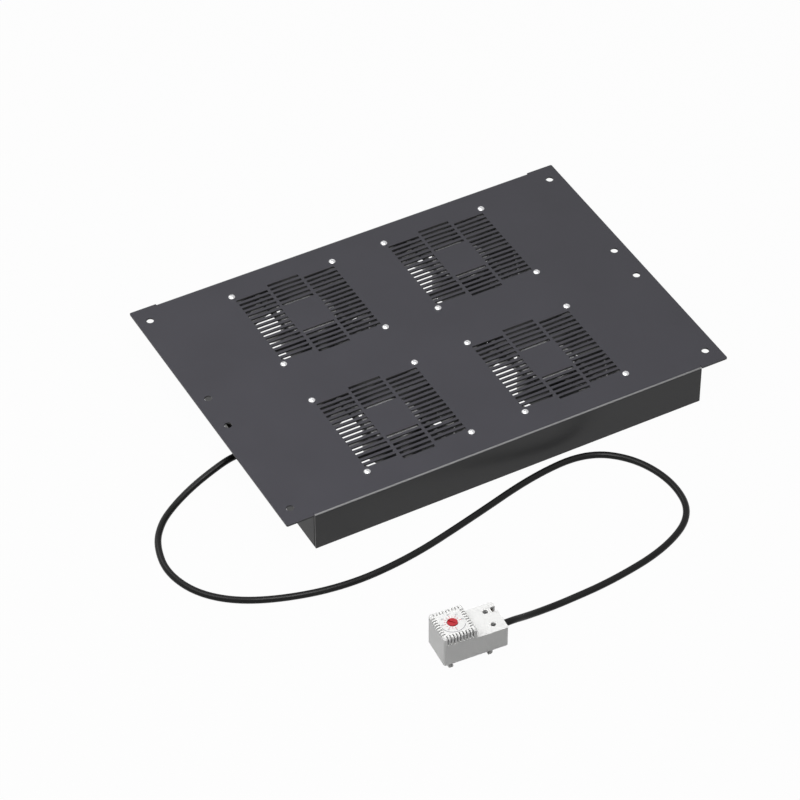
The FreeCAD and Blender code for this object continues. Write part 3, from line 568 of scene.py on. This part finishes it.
class Bench:
    """Makes pieces and dresses nodes, all with one palette."""

    def __init__(self, frame: dict[str, Any], palette: Palette) -> None:
        """Keeps the loaded frame and the palette."""
        self.frame = frame
        self.palette = palette
        self.slots = {row["node"]: row["material_slot"] for row in frame["record"]["subparts"]}

    def dress(self, finish: str, *nodes: str) -> None:
        """Gives CAD nodes a finish.

        Args:
            finish: a field of the palette.
            nodes: the nodes' names.
        """
        for name in nodes:
            self.paint(self.frame["nodes"][name], finish)

    def paint(self, target: bpy.types.Object, finish: str) -> None:
        """Gives an object one finish in place of any other."""
        target.data.materials.clear()
        target.data.materials.append(self.palette.get(finish))

    def piece(self, name: str, build: Callable[[bmesh.types.BMesh], None], finish: str,
              body: str, slot_of: str, smooth_deg: float = 35.0) -> bpy.types.Object:
        """Makes a mesh piece that rides on a body.

        Args:
            name: the piece's name.
            build: fills an empty bmesh, in metres in the row frame.
            finish: a field of the palette.
            body: the CAD body that it rides on.
            slot_of: not used.
            smooth_deg: edges flatter than this are shaded smooth.

        Returns:
            The new object.
        """
        mesh = bpy.data.meshes.new(name)
        bm = bmesh.new()
        build(bm)
        bmesh.ops.recalc_face_normals(bm, faces=bm.faces)
        limit = math.radians(smooth_deg)
        for edge in bm.edges:
            edge.smooth = len(edge.link_faces) == 2 and edge.calc_face_angle(0.0) < limit
        for face in bm.faces:
            face.smooth = True
        bm.to_mesh(mesh)
        bm.free()
        return self.mount(bpy.data.objects.new(name, mesh), finish, body, slot_of)

    def mount(self, made: bpy.types.Object, finish: str, body: str,
              slot_of: str) -> bpy.types.Object:
        """Links a piece to the scene, gives it its finish and lets it ride on a body."""
        bpy.context.scene.collection.objects.link(made)
        self.paint(made, finish)
        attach(made, body)
        LOG.info("made %s", made.name)
        return made


def spin(bm: bmesh.types.BMesh, profile: Sequence[Pair], centre: Vector, axis: Vector,
         steps: int) -> Rings:
    """Turns a profile about an axis.

    Args:
        bm: the mesh to add to.
        profile: (radius, height along the axis) points from one end to the other; a
            radius of 0 closes the end.
        centre: the point where height is 0.
        axis: the axis's direction.
        steps: how many steps make a full turn.

    Returns:
        The vertices of each profile point.
    """
    basis = axis.to_track_quat("Z", "Y").to_matrix()
    rings = []
    for radius, height in profile:
        count = steps if radius > 1e-9 else 1
        ring = []
        for k in range(count):
            angle = 2 * math.pi * k / steps
            spot = Vector((radius * math.cos(angle), radius * math.sin(angle), height))
            ring.append(bm.verts.new(centre + basis @ spot))
        rings.append(ring)
    for low, high in zip(rings, rings[1:]):
        for k in range(steps):
            corners = [low[k % len(low)], low[(k + 1) % len(low)],
                       high[(k + 1) % len(high)], high[k % len(high)]]
            kept = list(dict.fromkeys(corners))
            if len(kept) > 2:
                bm.faces.new(kept)
    return rings


def arc_points(radius: float, height: float, count: int) -> list[Pair]:
    """Returns a dome's profile from its rim at (radius, 0) to its crown at (0, height)."""
    ball = (radius * radius + height * height) / (2 * height)
    reach = math.asin(min(1.0, radius / ball))
    points = []
    for k in range(count + 1):
        angle = reach * (1 - k / count)
        points.append((ball * math.sin(angle), ball * math.cos(angle) - ball + height))
    return points


def dented(rings: Rings, centre: Vector, axis: Vector, recess: Recess, reach: float,
           width: float, depth: float) -> None:
    """Presses a cross or cuts a slot into a head by moving its vertices down.

    Args:
        rings: the vertices of the head.
        centre: the middle of the head.
        axis: the head's outward direction.
        recess: the kind of drive.
        reach: how far its arms reach from the centre.
        width: how wide an arm is.
        depth: how deep the middle is.
    """
    basis = axis.to_track_quat("Z", "Y").to_matrix().inverted()
    for ring in rings:
        for vert in ring:
            spot = basis @ (vert.co - centre)
            out = math.hypot(spot.x, spot.y)
            arm = abs(spot.y) if recess is Recess.SLOT else min(abs(spot.x), abs(spot.y))
            if out < reach and arm < width / 2:
                slope = 1.0 if recess is Recess.SLOT else 1 - CROSS_RISE * out / reach
                vert.co -= axis * depth * slope


def add_spline(curve: bpy.types.Curve, points: Sequence[Vector]) -> None:
    """Adds a smooth spline with those control points to a curve."""
    spline = curve.splines.new("NURBS")
    spline.points.add(len(points) - 1)
    for point, spot in zip(spline.points, points):
        point.co = (*spot, 1.0)
    spline.order_u = 3
    spline.use_endpoint_u = True


def round_tube(name: str, radius: float, round_steps: int, long_steps: int) -> bpy.types.Curve:
    """Returns an empty curve whose splines become closed round tubes.

    Args:
        name: the curve's name.
        radius: the tube's radius.
        round_steps: how finely the section is divided.
        long_steps: how finely each stretch between two control points is divided.

    Returns:
        The curve.
    """
    curve = bpy.data.curves.new(name, "CURVE")
    curve.dimensions = "3D"
    curve.bevel_depth = radius
    curve.bevel_resolution = round_steps
    curve.resolution_u = long_steps
    curve.use_fill_caps = True
    return curve


def beside(route: Sequence[Vector], shift: float) -> list[Vector]:
    """Returns a level, square-cornered route shifted to its side."""
    moved = []
    for k, spot in enumerate(route):
        step = Vector()
        for start, end in zip(route[max(k - 1, 0):k + 1], route[max(k - 1, 0) + 1:k + 2]):
            run = (end - start).normalized()
            normal = Vector((-run.y, run.x, 0.0))
            if (step - normal).length > 0.5:
                step += normal
        moved.append(spot + step * shift)
    return moved


def softened(route: Sequence[Vector], reach: float) -> list[Vector]:
    """Returns a route's points with one more before and after each corner, for a short bend."""
    points = [route[0]]
    for before, corner, after in zip(route, route[1:], route[2:]):
        into = before - corner
        out = after - corner
        points.append(corner + into.normalized() * min(reach, into.length * BEND_SHARE))
        points.append(corner)
        points.append(corner + out.normalized() * min(reach, out.length * BEND_SHARE))
    return points + [route[-1]]


# The tray's sub-assemblies


@dataclass
class TrayShell:
    """The folded plate and its two side panels."""

    bench: Bench

    def build(self) -> None:
        """Dresses the sheet metal."""
        self.bench.dress("tray", "tray_plate")
        self.bench.dress("panel", "left_side_panel", "right_side_panel")


FAN_FINISHES = {"frame": "frame", "impeller": "blade", "shaft": "steel", "bearing": "bronze",
                "stator": "laminations", "coils": "copper"}


@dataclass
class AxialFans:
    """The four fans beneath the plate."""

    bench: Bench
    count: int = 4
    label_radius: float = 25.6 * MM
    label_thickness: float = 0.15 * MM
    label_lip: float = 0.6 * MM
    hub_plate_under_frame_top: float = 0.5 * MM
    steps: int = 96

    def build(self) -> None:
        """Dresses each fan and lays the blank foil disc on its hub."""
        for number in range(1, self.count + 1):
            name = f"fan_{number}"
            for part, finish in FAN_FINISHES.items():
                self.bench.dress(finish, f"{name}_{part}")
            self.label(name)

    def label(self, name: str) -> None:
        """Makes one fan's blank hub disc."""
        low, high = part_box(name + "_frame")
        top = high[2] - self.hub_plate_under_frame_top
        centre = Vector(((low[0] + high[0]) / 2, (low[1] + high[1]) / 2, top))
        radius = self.label_radius
        rim = self.label_thickness
        profile = [(0.0, 0.0), (radius, 0.0), (radius, rim / 2), (radius - rim, rim),
                   (radius - self.label_lip, rim), (0.0, rim)]

        def disc(bm: bmesh.types.BMesh) -> None:
            """Turns the disc's profile."""
            spin(bm, profile, centre, Vector((0, 0, 1)), self.steps)

        self.bench.piece(name + "_hub_foil", disc, "hub_label", "tray", name + "_frame")


@dataclass
class FanScrews:
    """The sixteen domed screws through the plate."""

    bench: Bench
    pitch: float = 160 * MM
    span: float = 105 * MM
    head_radius: float = 3.3 * MM
    head_height: float = 2.6 * MM
    rim_height: float = 1.0 * MM
    shank_radius: float = 2.0 * MM
    core_radius: float = 1.65 * MM
    length: float = 9.0 * MM
    thread_pitch: float = 1.2 * MM
    thread_rise: float = 0.4
    point_share: float = 0.6
    recess_reach: float = 1.25 * MM
    recess_width: float = 0.55 * MM
    recess_depth: float = 0.55 * MM
    dome_rings: int = 14
    steps: int = 48

    def build(self) -> None:
        """Makes all sixteen as one piece in place of the plain ones."""
        made = self.bench.piece("fan_screw_set", self.fill, "dull_zinc", "tray",
                                "fan_screws", smooth_deg=50.0)
        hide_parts("fan_screws")

    def places(self) -> list[Pair]:
        """Returns the screws' (x, y)."""
        pitch = self.pitch / 2
        span = self.span / 2
        return [(sx * pitch + dx * span, sy * pitch + dy * span)
                for sx in (-1, 1) for sy in (-1, 1) for dx in (-1, 1) for dy in (-1, 1)]

    def profile(self) -> list[Pair]:
        """Returns one screw's profile from its point to its crown."""
        points = [(0.0, -self.length), (self.core_radius * self.point_share, -self.length)]
        turns = int(self.length / self.thread_pitch) - 1
        for k in range(turns):
            foot = -self.length + (k + 0.5) * self.thread_pitch
            points += [(self.core_radius, foot),
                       (self.shank_radius, foot + self.thread_pitch * self.thread_rise)]
        points += [(self.core_radius, -self.thread_pitch * 0.5), (self.core_radius, 0.0),
                   (self.head_radius, 0.0), (self.head_radius, self.rim_height)]
        dome = arc_points(self.head_radius, self.head_height - self.rim_height, self.dome_rings)
        return points + [(radius, height + self.rim_height) for radius, height in dome[1:]]

    def fill(self, bm: bmesh.types.BMesh) -> None:
        """Adds every screw to a mesh."""
        up = Vector((0, 0, 1))
        for x, y in self.places():
            centre = Vector((x, y, 0))
            rings = spin(bm, self.profile(), centre, up, self.steps)
            head = rings[-self.dome_rings:]
            dented(head, centre, up, Recess.CROSS, self.recess_reach, self.recess_width,
                   self.recess_depth)


@dataclass
class CableGland:
    """The gland in the left side panel, with a ribbed dome nut."""

    bench: Bench
    ribs: int = 16
    rib_depth: float = 0.35 * MM
    lip: float = 1.3 * MM
    lip_steps: int = 6
    waist_share: float = 0.5
    bore_gap: float = 0.12 * MM
    weld: float = 0.01 * MM
    steps: int = 96

    def build(self) -> None:
        """Dresses the gland and replaces its dome nut."""
        self.bench.dress("black_nylon", "gland_body", "gland_locknut")
        self.bench.dress("sheath", "cable_sheath_end")
        made = self.bench.piece("ribbed_dome_nut", self.fill, "black_nylon", "tray",
                                "gland_dome_nut")
        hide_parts("gland_dome_nut")

    def fill(self, bm: bmesh.types.BMesh) -> None:
        """Adds the dome nut to a mesh."""
        low, high = (Vector(corner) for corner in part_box("gland_dome_nut"))
        cable_low, cable_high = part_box("cable_sheath_end")
        bore = (cable_high[2] - cable_low[2]) / 2 + self.bore_gap
        radius = (high.z - low.z) / 2
        length = high.x - low.x
        waist = length * self.waist_share
        profile = [(bore, 0.0), (radius - self.rib_depth, 0.0), (radius, self.rib_depth),
                   (radius, waist)]
        for k in range(1, self.lip_steps + 1):
            angle = math.radians(90 * k / self.lip_steps)
            spot = bore + self.lip + (radius - bore - self.lip) * math.cos(angle)
            profile.append((spot, waist + (length - waist) * math.sin(angle)))
        profile += [(bore, length), (bore, 0.0)]
        centre = Vector((high.x, (low.y + high.y) / 2, (low.z + high.z) / 2))
        rings = spin(bm, profile, centre, Vector((-1, 0, 0)), self.steps)
        for ring in rings[2:4]:
            for k, vert in enumerate(ring):
                groove = math.cos(2 * math.pi * self.ribs * k / self.steps)
                inward = centre - vert.co
                inward.x = 0
                vert.co += inward.normalized() * self.rib_depth * (0.5 - 0.5 * groove)
        bmesh.ops.remove_doubles(bm, verts=bm.verts, dist=self.weld)


@dataclass
class PowerInlet:
    """The appliance inlet beside the gland."""

    bench: Bench

    def build(self) -> None:
        """Dresses the inlet's pieces."""
        self.bench.dress("black_nylon", "inlet_body")
        self.bench.dress("zinc", "inlet_screws", "inlet_nuts")
        self.bench.dress("brass", "inlet_pins")


@dataclass(frozen=True)
class Lead:
    """One insulated lead: its finish, the node that it stands for and its route."""

    name: str
    finish: str
    node: str
    route_mm: tuple[Place, ...]
    twin: bool = False


FAN_LEADS = (
    Lead("fan_1_twin_lead", "lead_black", "fan_leads", (
        (-134.1, -110.0, -9.0), (-147.0, -110.0, -9.0), (-147.0, -85.0, -9.0),
        (-159.0, -85.0, -9.0)), True),
    Lead("fan_2_twin_lead", "lead_black", "fan_leads", (
        (50.0, -25.9, -9.0), (50.0, -5.0, -9.0), (-142.5, -5.0, -9.0), (-142.5, -75.0, -9.0),
        (-159.0, -75.0, -9.0)), True),
    Lead("fan_3_twin_lead", "lead_black", "fan_leads", (
        (-134.1, 50.0, -9.0), (-151.5, 50.0, -9.0), (-151.5, -55.0, -9.0),
        (-159.0, -55.0, -9.0)), True),
    Lead("fan_4_twin_lead", "lead_black", "fan_leads", (
        (110.0, 25.9, -9.0), (110.0, 5.0, -9.0), (-147.0, 5.0, -9.0), (-147.0, -65.0, -9.0),
        (-159.0, -65.0, -9.0)), True),
)
INLET_LEADS = (
    Lead("live_lead", "lead_brown", "inlet_leads", (
        (-171.5, 3.0, -21.5), (-171.5, 3.0, -9.0), (-180.5, 3.0, -9.0), (-180.5, -55.0, -9.0),
        (-173.0, -55.0, -9.0))),
    Lead("neutral_lead", "lead_blue", "inlet_leads", (
        (-171.5, 17.0, -21.5), (-171.5, 17.0, -9.0), (-184.5, 17.0, -9.0),
        (-184.5, -65.0, -9.0), (-173.0, -65.0, -9.0))),
    Lead("earth_lead", "lead_green", "inlet_leads", (
        (-171.5, 10.0, -17.5), (-171.5, 10.0, -9.0), (-163.0, 10.0, -9.0),
        (-163.0, 60.3, -9.0))),
)
CABLE_CORES = (
    Lead("brown_core", "lead_brown", "thermostat_cores", (
        (-188.0, -38.8, -22.0), (-184.5, -38.8, -22.0), (-184.5, -95.0, -22.0),
        (-184.5, -95.0, -9.0), (-173.0, -95.0, -9.0))),
    Lead("blue_core", "lead_blue", "thermostat_cores", (
        (-188.0, -36.2, -22.0), (-180.5, -36.2, -22.0), (-180.5, -85.0, -22.0),
        (-180.5, -85.0, -9.0), (-173.0, -85.0, -9.0))),
)


@dataclass
class Wiring:
    """The terminal block and the leads inside the tray."""

    bench: Bench
    leads: tuple[Lead, ...] = FAN_LEADS + INLET_LEADS + CABLE_CORES
    core_radius: float = 1.1 * MM
    twin_radius: float = 0.85 * MM
    bend_reach: float = 3.0 * MM
    round_steps: int = 4
    long_steps: int = 6
    screw_radius: float = 1.9 * MM
    screw_height: float = 0.6 * MM
    screw_offset: float = 5.5 * MM
    screw_slot: float = 0.9 * MM
    screw_slot_depth: float = 0.5 * MM
    screw_edge: float = 0.04 * MM
    screw_rings: int = 8
    screw_steps: int = 32
    way_pitch: float = 10.0 * MM

    def build(self) -> None:
        """Dresses the block and its fixings, and makes the clamp screws and round leads."""
        self.bench.dress("natural_nylon", "terminal_block")
        self.bench.dress("zinc", "weld_studs", "stud_nuts")
        self.bench.piece("block_clamp_screws", self.fill_screws, "zinc", "tray", "stud_nuts")
        for lead in self.leads:
            self.lay(lead)

    def lay(self, lead: Lead) -> None:
        """Lays one round lead, or two side by side, in place of its plain solid."""
        radius = self.twin_radius if lead.twin else self.core_radius
        curve = round_tube(lead.name, radius, self.round_steps, self.long_steps)
        route = [Vector(spot) * MM for spot in lead.route_mm]
        for shift in ((-radius, radius) if lead.twin else (0.0,)):
            points = beside(route, shift) if lead.twin else route
            add_spline(curve, softened(points, self.bend_reach))
        made = bpy.data.objects.new(lead.name, curve)
        self.bench.mount(made, lead.finish, "tray", lead.node)
        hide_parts(lead.node)

    def fill_screws(self, bm: bmesh.types.BMesh) -> None:
        """Adds the two clamp screws of each way to a mesh."""
        low, high = (Vector(corner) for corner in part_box("terminal_block"))
        middle = (low + high) / 2
        ways = round((high.y - low.y) / self.way_pitch)
        down = Vector((0, 0, -1))
        profile = [(0.0, -self.screw_height), (self.screw_radius, -self.screw_height),
                   (self.screw_radius, 0.0)]
        profile += [(self.screw_radius * (1 - k / self.screw_rings), self.screw_edge)
                    for k in range(1, self.screw_rings + 1)]
        for way in range(ways):
            y = middle.y + (way - (ways - 1) / 2) * self.way_pitch
            for side in (-1, 1):
                centre = Vector((middle.x + side * self.screw_offset, y, low.z))
                rings = spin(bm, profile, centre, down, self.screw_steps)
                dented(rings[3:], centre, down, Recess.SLOT, self.screw_radius,
                       self.screw_slot, self.screw_slot_depth)


@dataclass
class Thermostat:
    """The thermostat beside the tray, with its dial and the scale round it."""

    bench: Bench
    turn_deg: float = -4.0
    pointer_deg: float = 135.0
    dial_above: float = 0.45 * MM
    dial_depth: float = 2.5 * MM
    slot_width: float = 1.3 * MM
    slot_depth: float = 0.9 * MM
    slot_tail: float = 3.0 * MM
    dial_edge: float = 0.2 * MM
    dial_steps: int = 60
    scale_inner: float = 5.7 * MM
    tick_length: float = 2.3 * MM
    short_tick: float = 0.6
    tick_width: float = 0.38 * MM
    print_height: float = 0.03 * MM
    arc_radius: float = 11.1 * MM
    arc_width: float = 0.42 * MM
    arc_from_deg: float = 196.0
    arc_span_deg: float = 132.0
    tick_count: int = 7
    first_tick_deg: float = 270.0
    tick_step_deg: float = 45.0
    digit_size: float = 2.3 * MM
    digit_radius: float = 9.4 * MM
    arc_steps: int = 64

    def build(self) -> None:
        """Dresses the thermostat, turns its dial and prints its scale."""
        self.bench.dress("case", "thermostat_case", "thermostat_base")
        self.bench.dress("black_nylon", "thermostat_carrier")
        self.bench.dress("brass", "dial_spindle", "terminal_clamps")
        self.bench.dress("steel", "bimetal_strip")
        self.bench.dress("dark_steel", "terminal_screws")
        dial = self.bench.piece("slotted_dial", self.fill_dial, "dial", "dial", "thermostat_dial")
        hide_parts("thermostat_dial")
        self.bench.piece("scale_ticks", self.fill_ticks, "print_red", "tray", "thermostat_dial")
        self.bench.piece("scale_arc", self.fill_arc, "print_grey", "tray", "thermostat_case")
        self.digits()

    def dial_centre(self) -> Vector:
        """Returns the dial's axis at the height of the case's top."""
        low, high = (Vector(corner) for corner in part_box("thermostat_dial"))
        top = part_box("thermostat_case")[1][2]
        return Vector(((low.x + high.x) / 2, (low.y + high.y) / 2, top))

    def at(self, degrees: float, radius: float, height: float = 0.0) -> Vector:
        """Returns a point round the dial, with the case's own turn added to its angle."""
        angle = math.radians(degrees + self.turn_deg)
        out = Vector((radius * math.cos(angle), radius * math.sin(angle), height))
        return self.dial_centre() + out

    def fill_dial(self, bm: bmesh.types.BMesh) -> None:
        """Adds the dial to a mesh: a disc with a slot that is open at the pointer's end."""
        low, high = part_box("thermostat_dial")
        radius = (high[0] - low[0]) / 2
        half = self.slot_width / 2
        mouth = math.degrees(math.asin(half / radius))
        turn = math.radians(self.pointer_deg + self.turn_deg)
        base = self.dial_centre()

        def level(outline: list[Pair], height: float) -> list[bmesh.types.BMVert]:
            """Adds an outline's vertices at a height, turned to the pointer's direction."""
            cos, sin = math.cos(turn), math.sin(turn)
            return [bm.verts.new(base + Vector((x * cos - y * sin, x * sin + y * cos, height)))
                    for x, y in outline]

        rim = []
        for k in range(self.dial_steps + 1):
            angle = math.radians(mouth + (360 - 2 * mouth) * k / self.dial_steps)
            rim.append((radius * math.cos(angle), radius * math.sin(angle)))
        tail = [(-self.slot_tail, -half), (-self.slot_tail, half)]
        top = level(rim + tail, self.dial_above)
        floor = level([rim[0], *reversed(tail), rim[-1]], self.dial_above - self.slot_depth)
        under = level(rim, self.dial_above - self.dial_depth)
        crown = bm.faces.new(top)
        bm.faces.new(floor)
        bm.faces.new(under)
        walls = [top[self.dial_steps], top[-2], top[-1], top[0]]
        feet = [floor[3], floor[2], floor[1], floor[0]]
        for k in range(3):
            bm.faces.new((walls[k], walls[k + 1], feet[k + 1], feet[k]))
        for k in range(1, self.dial_steps - 1):
            bm.faces.new((top[k], top[k + 1], under[k + 1], under[k]))
        bm.faces.new((top[0], top[1], under[1], under[0], floor[0]))
        bm.faces.new((top[self.dial_steps - 1], top[self.dial_steps], floor[3],
                      under[self.dial_steps], under[self.dial_steps - 1]))
        bm.faces.new((floor[0], under[0], under[self.dial_steps], floor[3]))
        bmesh.ops.bevel(bm, geom=crown.edges[:], offset=self.dial_edge, segments=2,
                        profile=0.5, affect="EDGES")

    def fill_ticks(self, bm: bmesh.types.BMesh) -> None:
        """Adds the scale's ticks to a mesh, long and short by turns."""
        for k in range(2 * self.tick_count - 1):
            degrees = self.first_tick_deg - k * self.tick_step_deg / 2
            length = self.tick_length * (1.0 if k % 2 == 0 else self.short_tick)
            half = math.degrees(self.tick_width / 2 / self.scale_inner)
            outer = self.scale_inner + length
            bm.faces.new([bm.verts.new(self.at(degrees + side * half, radius, self.print_height))
                          for side, radius in ((-1, self.scale_inner), (1, self.scale_inner),
                                               (1, outer), (-1, outer))])

    def fill_arc(self, bm: bmesh.types.BMesh) -> None:
        """Adds the thin arc round the scale to a mesh."""
        inner = []
        outer = []
        for k in range(self.arc_steps + 1):
            degrees = self.arc_from_deg + self.arc_span_deg * k / self.arc_steps
            for rim, radius in ((inner, self.arc_radius),
                                (outer, self.arc_radius + self.arc_width)):
                rim.append(bm.verts.new(self.at(degrees, radius, self.print_height)))
        for k in range(self.arc_steps):
            bm.faces.new((inner[k], inner[k + 1], outer[k + 1], outer[k]))

    def digits(self) -> None:
        """Prints plain numbers beside the long ticks."""
        for k in range(self.tick_count):
            degrees = self.first_tick_deg - k * self.tick_step_deg
            curve = bpy.data.curves.new(f"scale_number_{k}", "FONT")
            curve.body = str(10 * k)
            curve.size = self.digit_size
            curve.align_x = "CENTER"
            curve.align_y = "CENTER"
            made = bpy.data.objects.new(f"scale_number_{k}", curve)
            spot = self.at(degrees, self.digit_radius, self.print_height)
            made.matrix_world = (Matrix.Translation(spot)
                                 @ Matrix.Rotation(math.radians(self.turn_deg), 4, "Z"))
            self.bench.mount(made, "print_grey", "tray", "thermostat_case")


@dataclass
class ThermostatCable:
    """The sheathed cable from the gland to the thermostat, lying on the table."""

    bench: Bench
    diameter: float = 6.2 * MM
    length: float = 0.9641
    round_steps: int = 6
    long_steps: int = 10
    route_mm: tuple[Place, ...] = (
        (-210.5, -37.5, -22.0),
        (-219.5, -37.5, -22.0),
        (-239.0, -41.2, -25.2),
        (-262.0, -45.8, -31.2),
        (-285.0, -54.5, -36.6),
        (-304.0, -68.0, -37.9),
        (-319.5, -90.5, -37.9),
        (-326.5, -127.0, -37.9),
        (-311.0, -166.0, -37.9),
        (-272.0, -195.0, -37.9),
        (-204.0, -214.0, -37.9),
        (-135.0, -211.0, -37.9),
        (-62.0, -193.5, -37.9),
        (14.0, -173.0, -37.9),
        (70.0, -170.0, -37.9),
        (104.0, -197.0, -37.9),
        (119.0, -240.0, -37.9),
        (111.0, -283.0, -37.9),
        (68.0, -308.0, -37.9),
        (8.0, -319.0, -37.9),
        (-42.0, -321.0, -37.9),
        (-66.0, -322.5, -35.5),
        (-84.0, -326.5, -29.5),
        (-97.0, -331.0, -22.5),
        (-105.6, -332.4, -20.5),
        (-112.9, -331.9, -20.5),
    )

    def build(self) -> None:
        curve = round_tube("thermostat_cable_sheath", self.diameter / 2,
                           self.round_steps, self.long_steps)
        add_spline(curve, [Vector(spot) * MM for spot in self.route_mm])
        made = bpy.data.objects.new("thermostat_cable_sheath", curve)
        self.bench.mount(made, "sheath", "tray", "thermostat_cable")
        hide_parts("thermostat_cable")


# Camera, floor and light


@dataclass(frozen=True)
class Lamp:
    """One square soft lamp: where it hangs, its side in metres and its power in watts."""

    name: str
    spot: Place
    size: float
    watts: float


@dataclass
class Studio:
    """A plain white floor, soft light and the photograph's viewpoint."""

    camera_at: Place = (-1.189297, -2.142211, 2.190132)
    forward: Place = (0.34964165, 0.6447689, -0.67972331)
    image_down: Place = (-0.32707982, -0.59585996, -0.73346418)
    lens_mm: float = 161.749
    sensor_mm: float = 36.0
    clip_end: float = 50.0
    floor_half: float = 4.0
    floor_gap: float = 0.02 * MM
    floor_grey: float = 0.30
    floor_glow: float = 0.975
    world_strength: float = 0.12
    lamps: tuple[Lamp, ...] = (
        Lamp("soft_top", (-0.25, -0.25, 1.5), 1.1, 8.6),
        Lamp("soft_left", (-0.8, -0.1, 0.9), 0.6, 3.8),
        Lamp("soft_case", (-0.25, -0.55, 0.9), 0.4, 3.9),
        Lamp("soft_back", (-0.6, 1.1, 1.2), 0.9, 5.4),
        Lamp("soft_bend", (0.56, -1.10, 1.04), 0.7, 1.0),
    )

    def build(self, table_z: float) -> None:
        """Sets up the view, the floor and the light.

        Args:
            table_z: the height of the surface that the tray stands on.
        """
        self.camera()
        self.floor(table_z - self.floor_gap)
        self.world()
        for lamp in self.lamps:
            self.hang(lamp)

    def camera(self) -> None:
        """Places the camera."""
        forward = Vector(self.forward).normalized()
        up = -Vector(self.image_down)
        up = (up - forward * up.dot(forward)).normalized()
        right = forward.cross(up)
        data = bpy.data.cameras.new("view")
        data.sensor_fit = "HORIZONTAL"
        data.sensor_width = self.sensor_mm
        data.lens = self.lens_mm
        data.clip_end = self.clip_end
        camera = bpy.data.objects.new("view", data)
        basis = Matrix((right, up, -forward)).transposed().to_4x4()
        camera.matrix_world = Matrix.Translation(self.camera_at) @ basis
        bpy.context.scene.collection.objects.link(camera)
        bpy.context.scene.camera = camera

    def floor(self, height: float) -> None:
        """Lays the floor, white to the camera apart from the object's soft shadow.

        Args:
            height: how high it lies.
        """
        mesh = bpy.data.meshes.new("floor")
        half = self.floor_half
        corners = [(-half, -half, height), (half, -half, height), (half, half, height),
                   (-half, half, height)]
        mesh.from_pydata(corners, [], [(0, 1, 2, 3)])
        floor = bpy.data.objects.new("floor", mesh)
        bpy.context.scene.collection.objects.link(floor)
        shader = Shader("white_floor")
        shader.set(Base_Color=(self.floor_grey, self.floor_grey, self.floor_grey, 1.0),
                   Roughness=0.9, Specular_IOR_Level=0.0)
        glow = shader.node("ShaderNodeEmission", {}, {"Color": WHITE})
        shade = shader.node("ShaderNodeMixShader", {}, {
            0: shader.white_rays() * self.floor_glow,
            1: Wire(shader, shader.surface.outputs[0]), 2: glow})
        shader.feed(shader.output.inputs["Surface"], shade)
        mesh.materials.append(shader.material)
        floor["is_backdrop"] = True

    def world(self) -> None:
        """Makes the sky white to be seen, and weaker as a light."""
        world = bpy.data.worlds.new("studio")
        bpy.context.scene.world = world
        world.use_nodes = True
        sky = Tree(world.node_tree)
        strength = sky.node("ShaderNodeMapRange", {}, {
            "Value": sky.white_rays(), "To Min": self.world_strength, "To Max": 1.0})
        shade = sky.node("ShaderNodeBackground", {}, {"Color": WHITE, "Strength": strength})
        output = sky.tree.nodes.new("ShaderNodeOutputWorld")
        sky.feed(output.inputs["Surface"], shade)

    def hang(self, lamp: Lamp) -> None:
        """Hangs a square soft lamp that faces the middle of the tray."""
        data = bpy.data.lights.new(lamp.name, "AREA")
        data.shape = "SQUARE"
        data.size = lamp.size
        data.energy = lamp.watts
        made = bpy.data.objects.new(lamp.name, data)
        aim = (-Vector(lamp.spot)).to_track_quat("-Z", "Y")
        made.matrix_world = Matrix.Translation(lamp.spot) @ aim.to_matrix().to_4x4()
        bpy.context.scene.collection.objects.link(made)


def main() -> None:
    """Builds the studio and the tray's sub-assemblies in order."""
    logging.basicConfig(level=logging.INFO, format="%(name)s: %(message)s")
    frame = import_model()
    cad_box = [list(corner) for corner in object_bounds()]
    bpy.context.scene.view_settings.view_transform = "Standard"
    bench = Bench(frame, Palette())
    Studio().build(table_z=cad_box[0][2])
    for assembly in (ThermostatCable(bench), TrayShell(bench), AxialFans(bench), FanScrews(bench),
                     CableGland(bench), PowerInlet(bench), Wiring(bench), Thermostat(bench)):
        assembly.build()
        LOG.info("finished %s", type(assembly).__name__)


if __name__ == "__main__":
    main()
